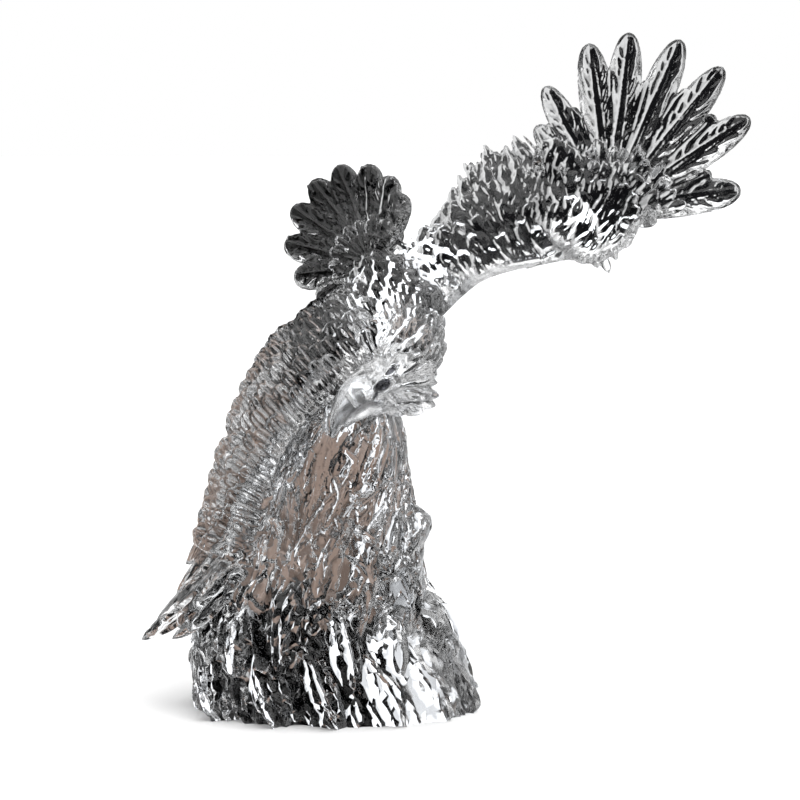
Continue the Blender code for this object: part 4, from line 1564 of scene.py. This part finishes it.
@dataclass(frozen=True)
class Card:
    """Card that stands close to the crystal and that only the crystal sees.

    Its middle and half sizes are in millimetres, its turn about the upright and its roll in its own
    plane in degrees. Strips cut it into upright bands that fill a share of its width.
    """

    middle: Tuple[float, float, float]
    half_width: float
    half_height: float
    colour: Colour
    power: float = 1.0
    turn: float = 0.0
    roll: float = 0.0
    strips: int = 1
    filled: float = 1.0

    def build(self, name: str) -> bpy.types.Object:
        """Makes the card, which faces -Y before it is turned."""
        form = bmesh.new()
        for k in range(self.strips):
            strip = Matrix.Diagonal((self.filled / self.strips, 1.0, 1.0, 1.0))
            strip.translation.x = (2 * k + 1) / self.strips - 1.0
            bmesh.ops.create_grid(form, x_segments=1, y_segments=1, size=1.0, matrix=strip)
        scale = Matrix.Diagonal((self.half_width * MM, self.half_height * MM, 1.0, 1.0))
        stand = Matrix.Rotation(radians(90.0), 4, "X") @ Matrix.Rotation(radians(self.roll), 4, "Z")
        place = Matrix.Translation(at(*self.middle)) @ Matrix.Rotation(radians(self.turn), 4, "Z")
        form.transform(place @ stand @ scale)
        material = bpy.data.materials.new(name)
        material.use_nodes = True
        tree = material.node_tree
        tree.nodes.remove(tree.nodes["Principled BSDF"])
        glow = tree.nodes.new("ShaderNodeEmission")
        glow.inputs["Color"].default_value = self.colour
        glow.inputs["Strength"].default_value = self.power
        tree.links.new(glow.outputs["Emission"], tree.nodes["Material Output"].inputs["Surface"])
        card = placed(name, mesh_of(name, form))
        card.data.materials.append(material)
        card.visible_camera = False
        card.visible_diffuse = False
        card.visible_shadow = False
        card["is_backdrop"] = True
        return card


@dataclass
class Studio:
    """Pale floor, soft panels of light, a few cards and the camera."""

    target: Vector = field(default_factory=lambda: Vector((0.033, 0.0, 0.163)))
    distance: float = 1.10
    elevation: float = 7.0
    lens: float = 94.6
    sun_power: float = 1.95
    sun_spread: float = 50.0
    sun_tilt: Tuple[float, float] = (18.0, 16.0)
    floor_half: float = 40.0
    floor_colour: Colour = (0.85, 0.85, 0.85, 1.0)
    backdrop: Colour = (1.0, 1.0, 1.0, 1.0)
    dark: Colour = (0.008, 0.008, 0.009, 1.0)
    panels: Tuple[Panel, ...] = (
        Panel(90, -60, 180, 30, 0.5, bars=20),
        Panel(90, 80, 180, 40, 1.3),
        Panel(100, 46, 70, 27, 1.5),
        Panel(0, 5, 42, 48, 1.4, bars=11),
        Panel(60, 2, 16, 46, 0.8),
        Panel(122, 0, 13, 40, 0.8),
        Panel(182, 8, 34, 40, 0.6, bars=13),
    )
    cards: Tuple[Card, ...] = (
        Card((-70, 130, 125), 75, 80, BROWN, roll=20, strips=8, filled=0.6),
        Card((-20, 62, 82), 35, 54, BROWN, 0.9),
        Card((60, 64, 58), 42, 80, WHITE, 1.7),
        Card((78, 90, -50), 58, 60, WHITE, 1.4),
        Card((-30, 58, 4), 46, 34, BLACK, 0.0),
        Card((58, 44, 184), 27, 46, WHITE, 2.2),
        Card((-8, 43, 169), 55, 15, BLACK, 0.0, roll=63.6),
        Card((-22, 58, 232), 48, 56, BLACK, 0.0),
        Card((100, 34, 226), 56, 15, WHITE, 2.2, roll=13),
        Card((120, 20, 25), 40, 45, WHITE, 2.2, turn=-75),
    )

    def camera(self) -> None:
        """Places the camera in front of the figurine, a little above it."""
        data = bpy.data.cameras.new("camera")
        data.lens = self.lens
        data.sensor_width = 36.0
        camera = placed("camera", data)
        rise = radians(self.elevation)
        offset = Vector((0.0, -cos(rise), sin(rise))) * self.distance
        camera.location = self.target + offset
        camera.rotation_euler = (-offset).to_track_quat("-Z", "Y").to_euler()
        bpy.context.scene.camera = camera

    def floor(self) -> None:
        """Adds the pale floor."""
        form = bmesh.new()
        bmesh.ops.create_grid(form, x_segments=1, y_segments=1, size=self.floor_half)
        floor = placed("floor", mesh_of("floor", form))
        material = bpy.data.materials.new("pale_floor")
        material.use_nodes = True
        shader = material.node_tree.nodes["Principled BSDF"]
        shader.inputs["Base Color"].default_value = self.floor_colour
        shader.inputs["Roughness"].default_value = 0.9
        floor.data.materials.append(material)
        floor.visible_transmission = False
        floor.visible_glossy = False
        floor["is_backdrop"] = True

    def world(self) -> None:
        """Sets the soft panels that light the crystal, and the pale backdrop that the camera sees."""
        world = bpy.data.worlds.new("studio")
        bpy.context.scene.world = world
        world.use_nodes = True
        tree = world.node_tree
        background = tree.nodes["Background"]
        place = tree.nodes.new("ShaderNodeTexCoord")
        split = tree.nodes.new("ShaderNodeSeparateXYZ")
        tree.links.new(place.outputs["Generated"], split.inputs["Vector"])
        azimuth = math(tree, "ARCTAN2", split.outputs["Y"], split.outputs["X"])
        elevation = math(tree, "ARCSINE", split.outputs["Z"])
        total = self.dark
        for panel in self.panels:
            total = blend(tree, panel.mask(tree, azimuth, elevation), total, (panel.power,) * 3 + (1.0,))
        rays = tree.nodes.new("ShaderNodeLightPath")
        shown = blend(tree, rays.outputs["Is Camera Ray"], total, self.backdrop)
        tree.links.new(shown, background.inputs["Color"])

    def light(self) -> None:
        """Adds the broad soft light overhead."""
        data = bpy.data.lights.new("overhead", "SUN")
        data.energy = self.sun_power
        data.angle = radians(self.sun_spread)
        lamp = placed("overhead", data)
        lamp.rotation_euler = (radians(self.sun_tilt[0]), radians(self.sun_tilt[1]), 0.0)
        lamp.visible_transmission = False
        lamp.visible_glossy = False

    def build(self) -> None:
        """Sets the whole studio."""
        self.camera()
        self.floor()
        self.light()
        self.world()
        for number, card in enumerate(self.cards):
            card.build(f"card_{number + 1}")
        bpy.context.scene.view_settings.view_transform = "Standard"


def main() -> None:
    """Builds the figurine inside the solid's box, and the studio."""
    logging.basicConfig(level=logging.INFO, format="%(name)s: %(message)s")
    solid_box = [list(corner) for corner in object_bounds()]
    Casting().build(solid_box)
    Studio().build()


if __name__ == "__main__":
    main()
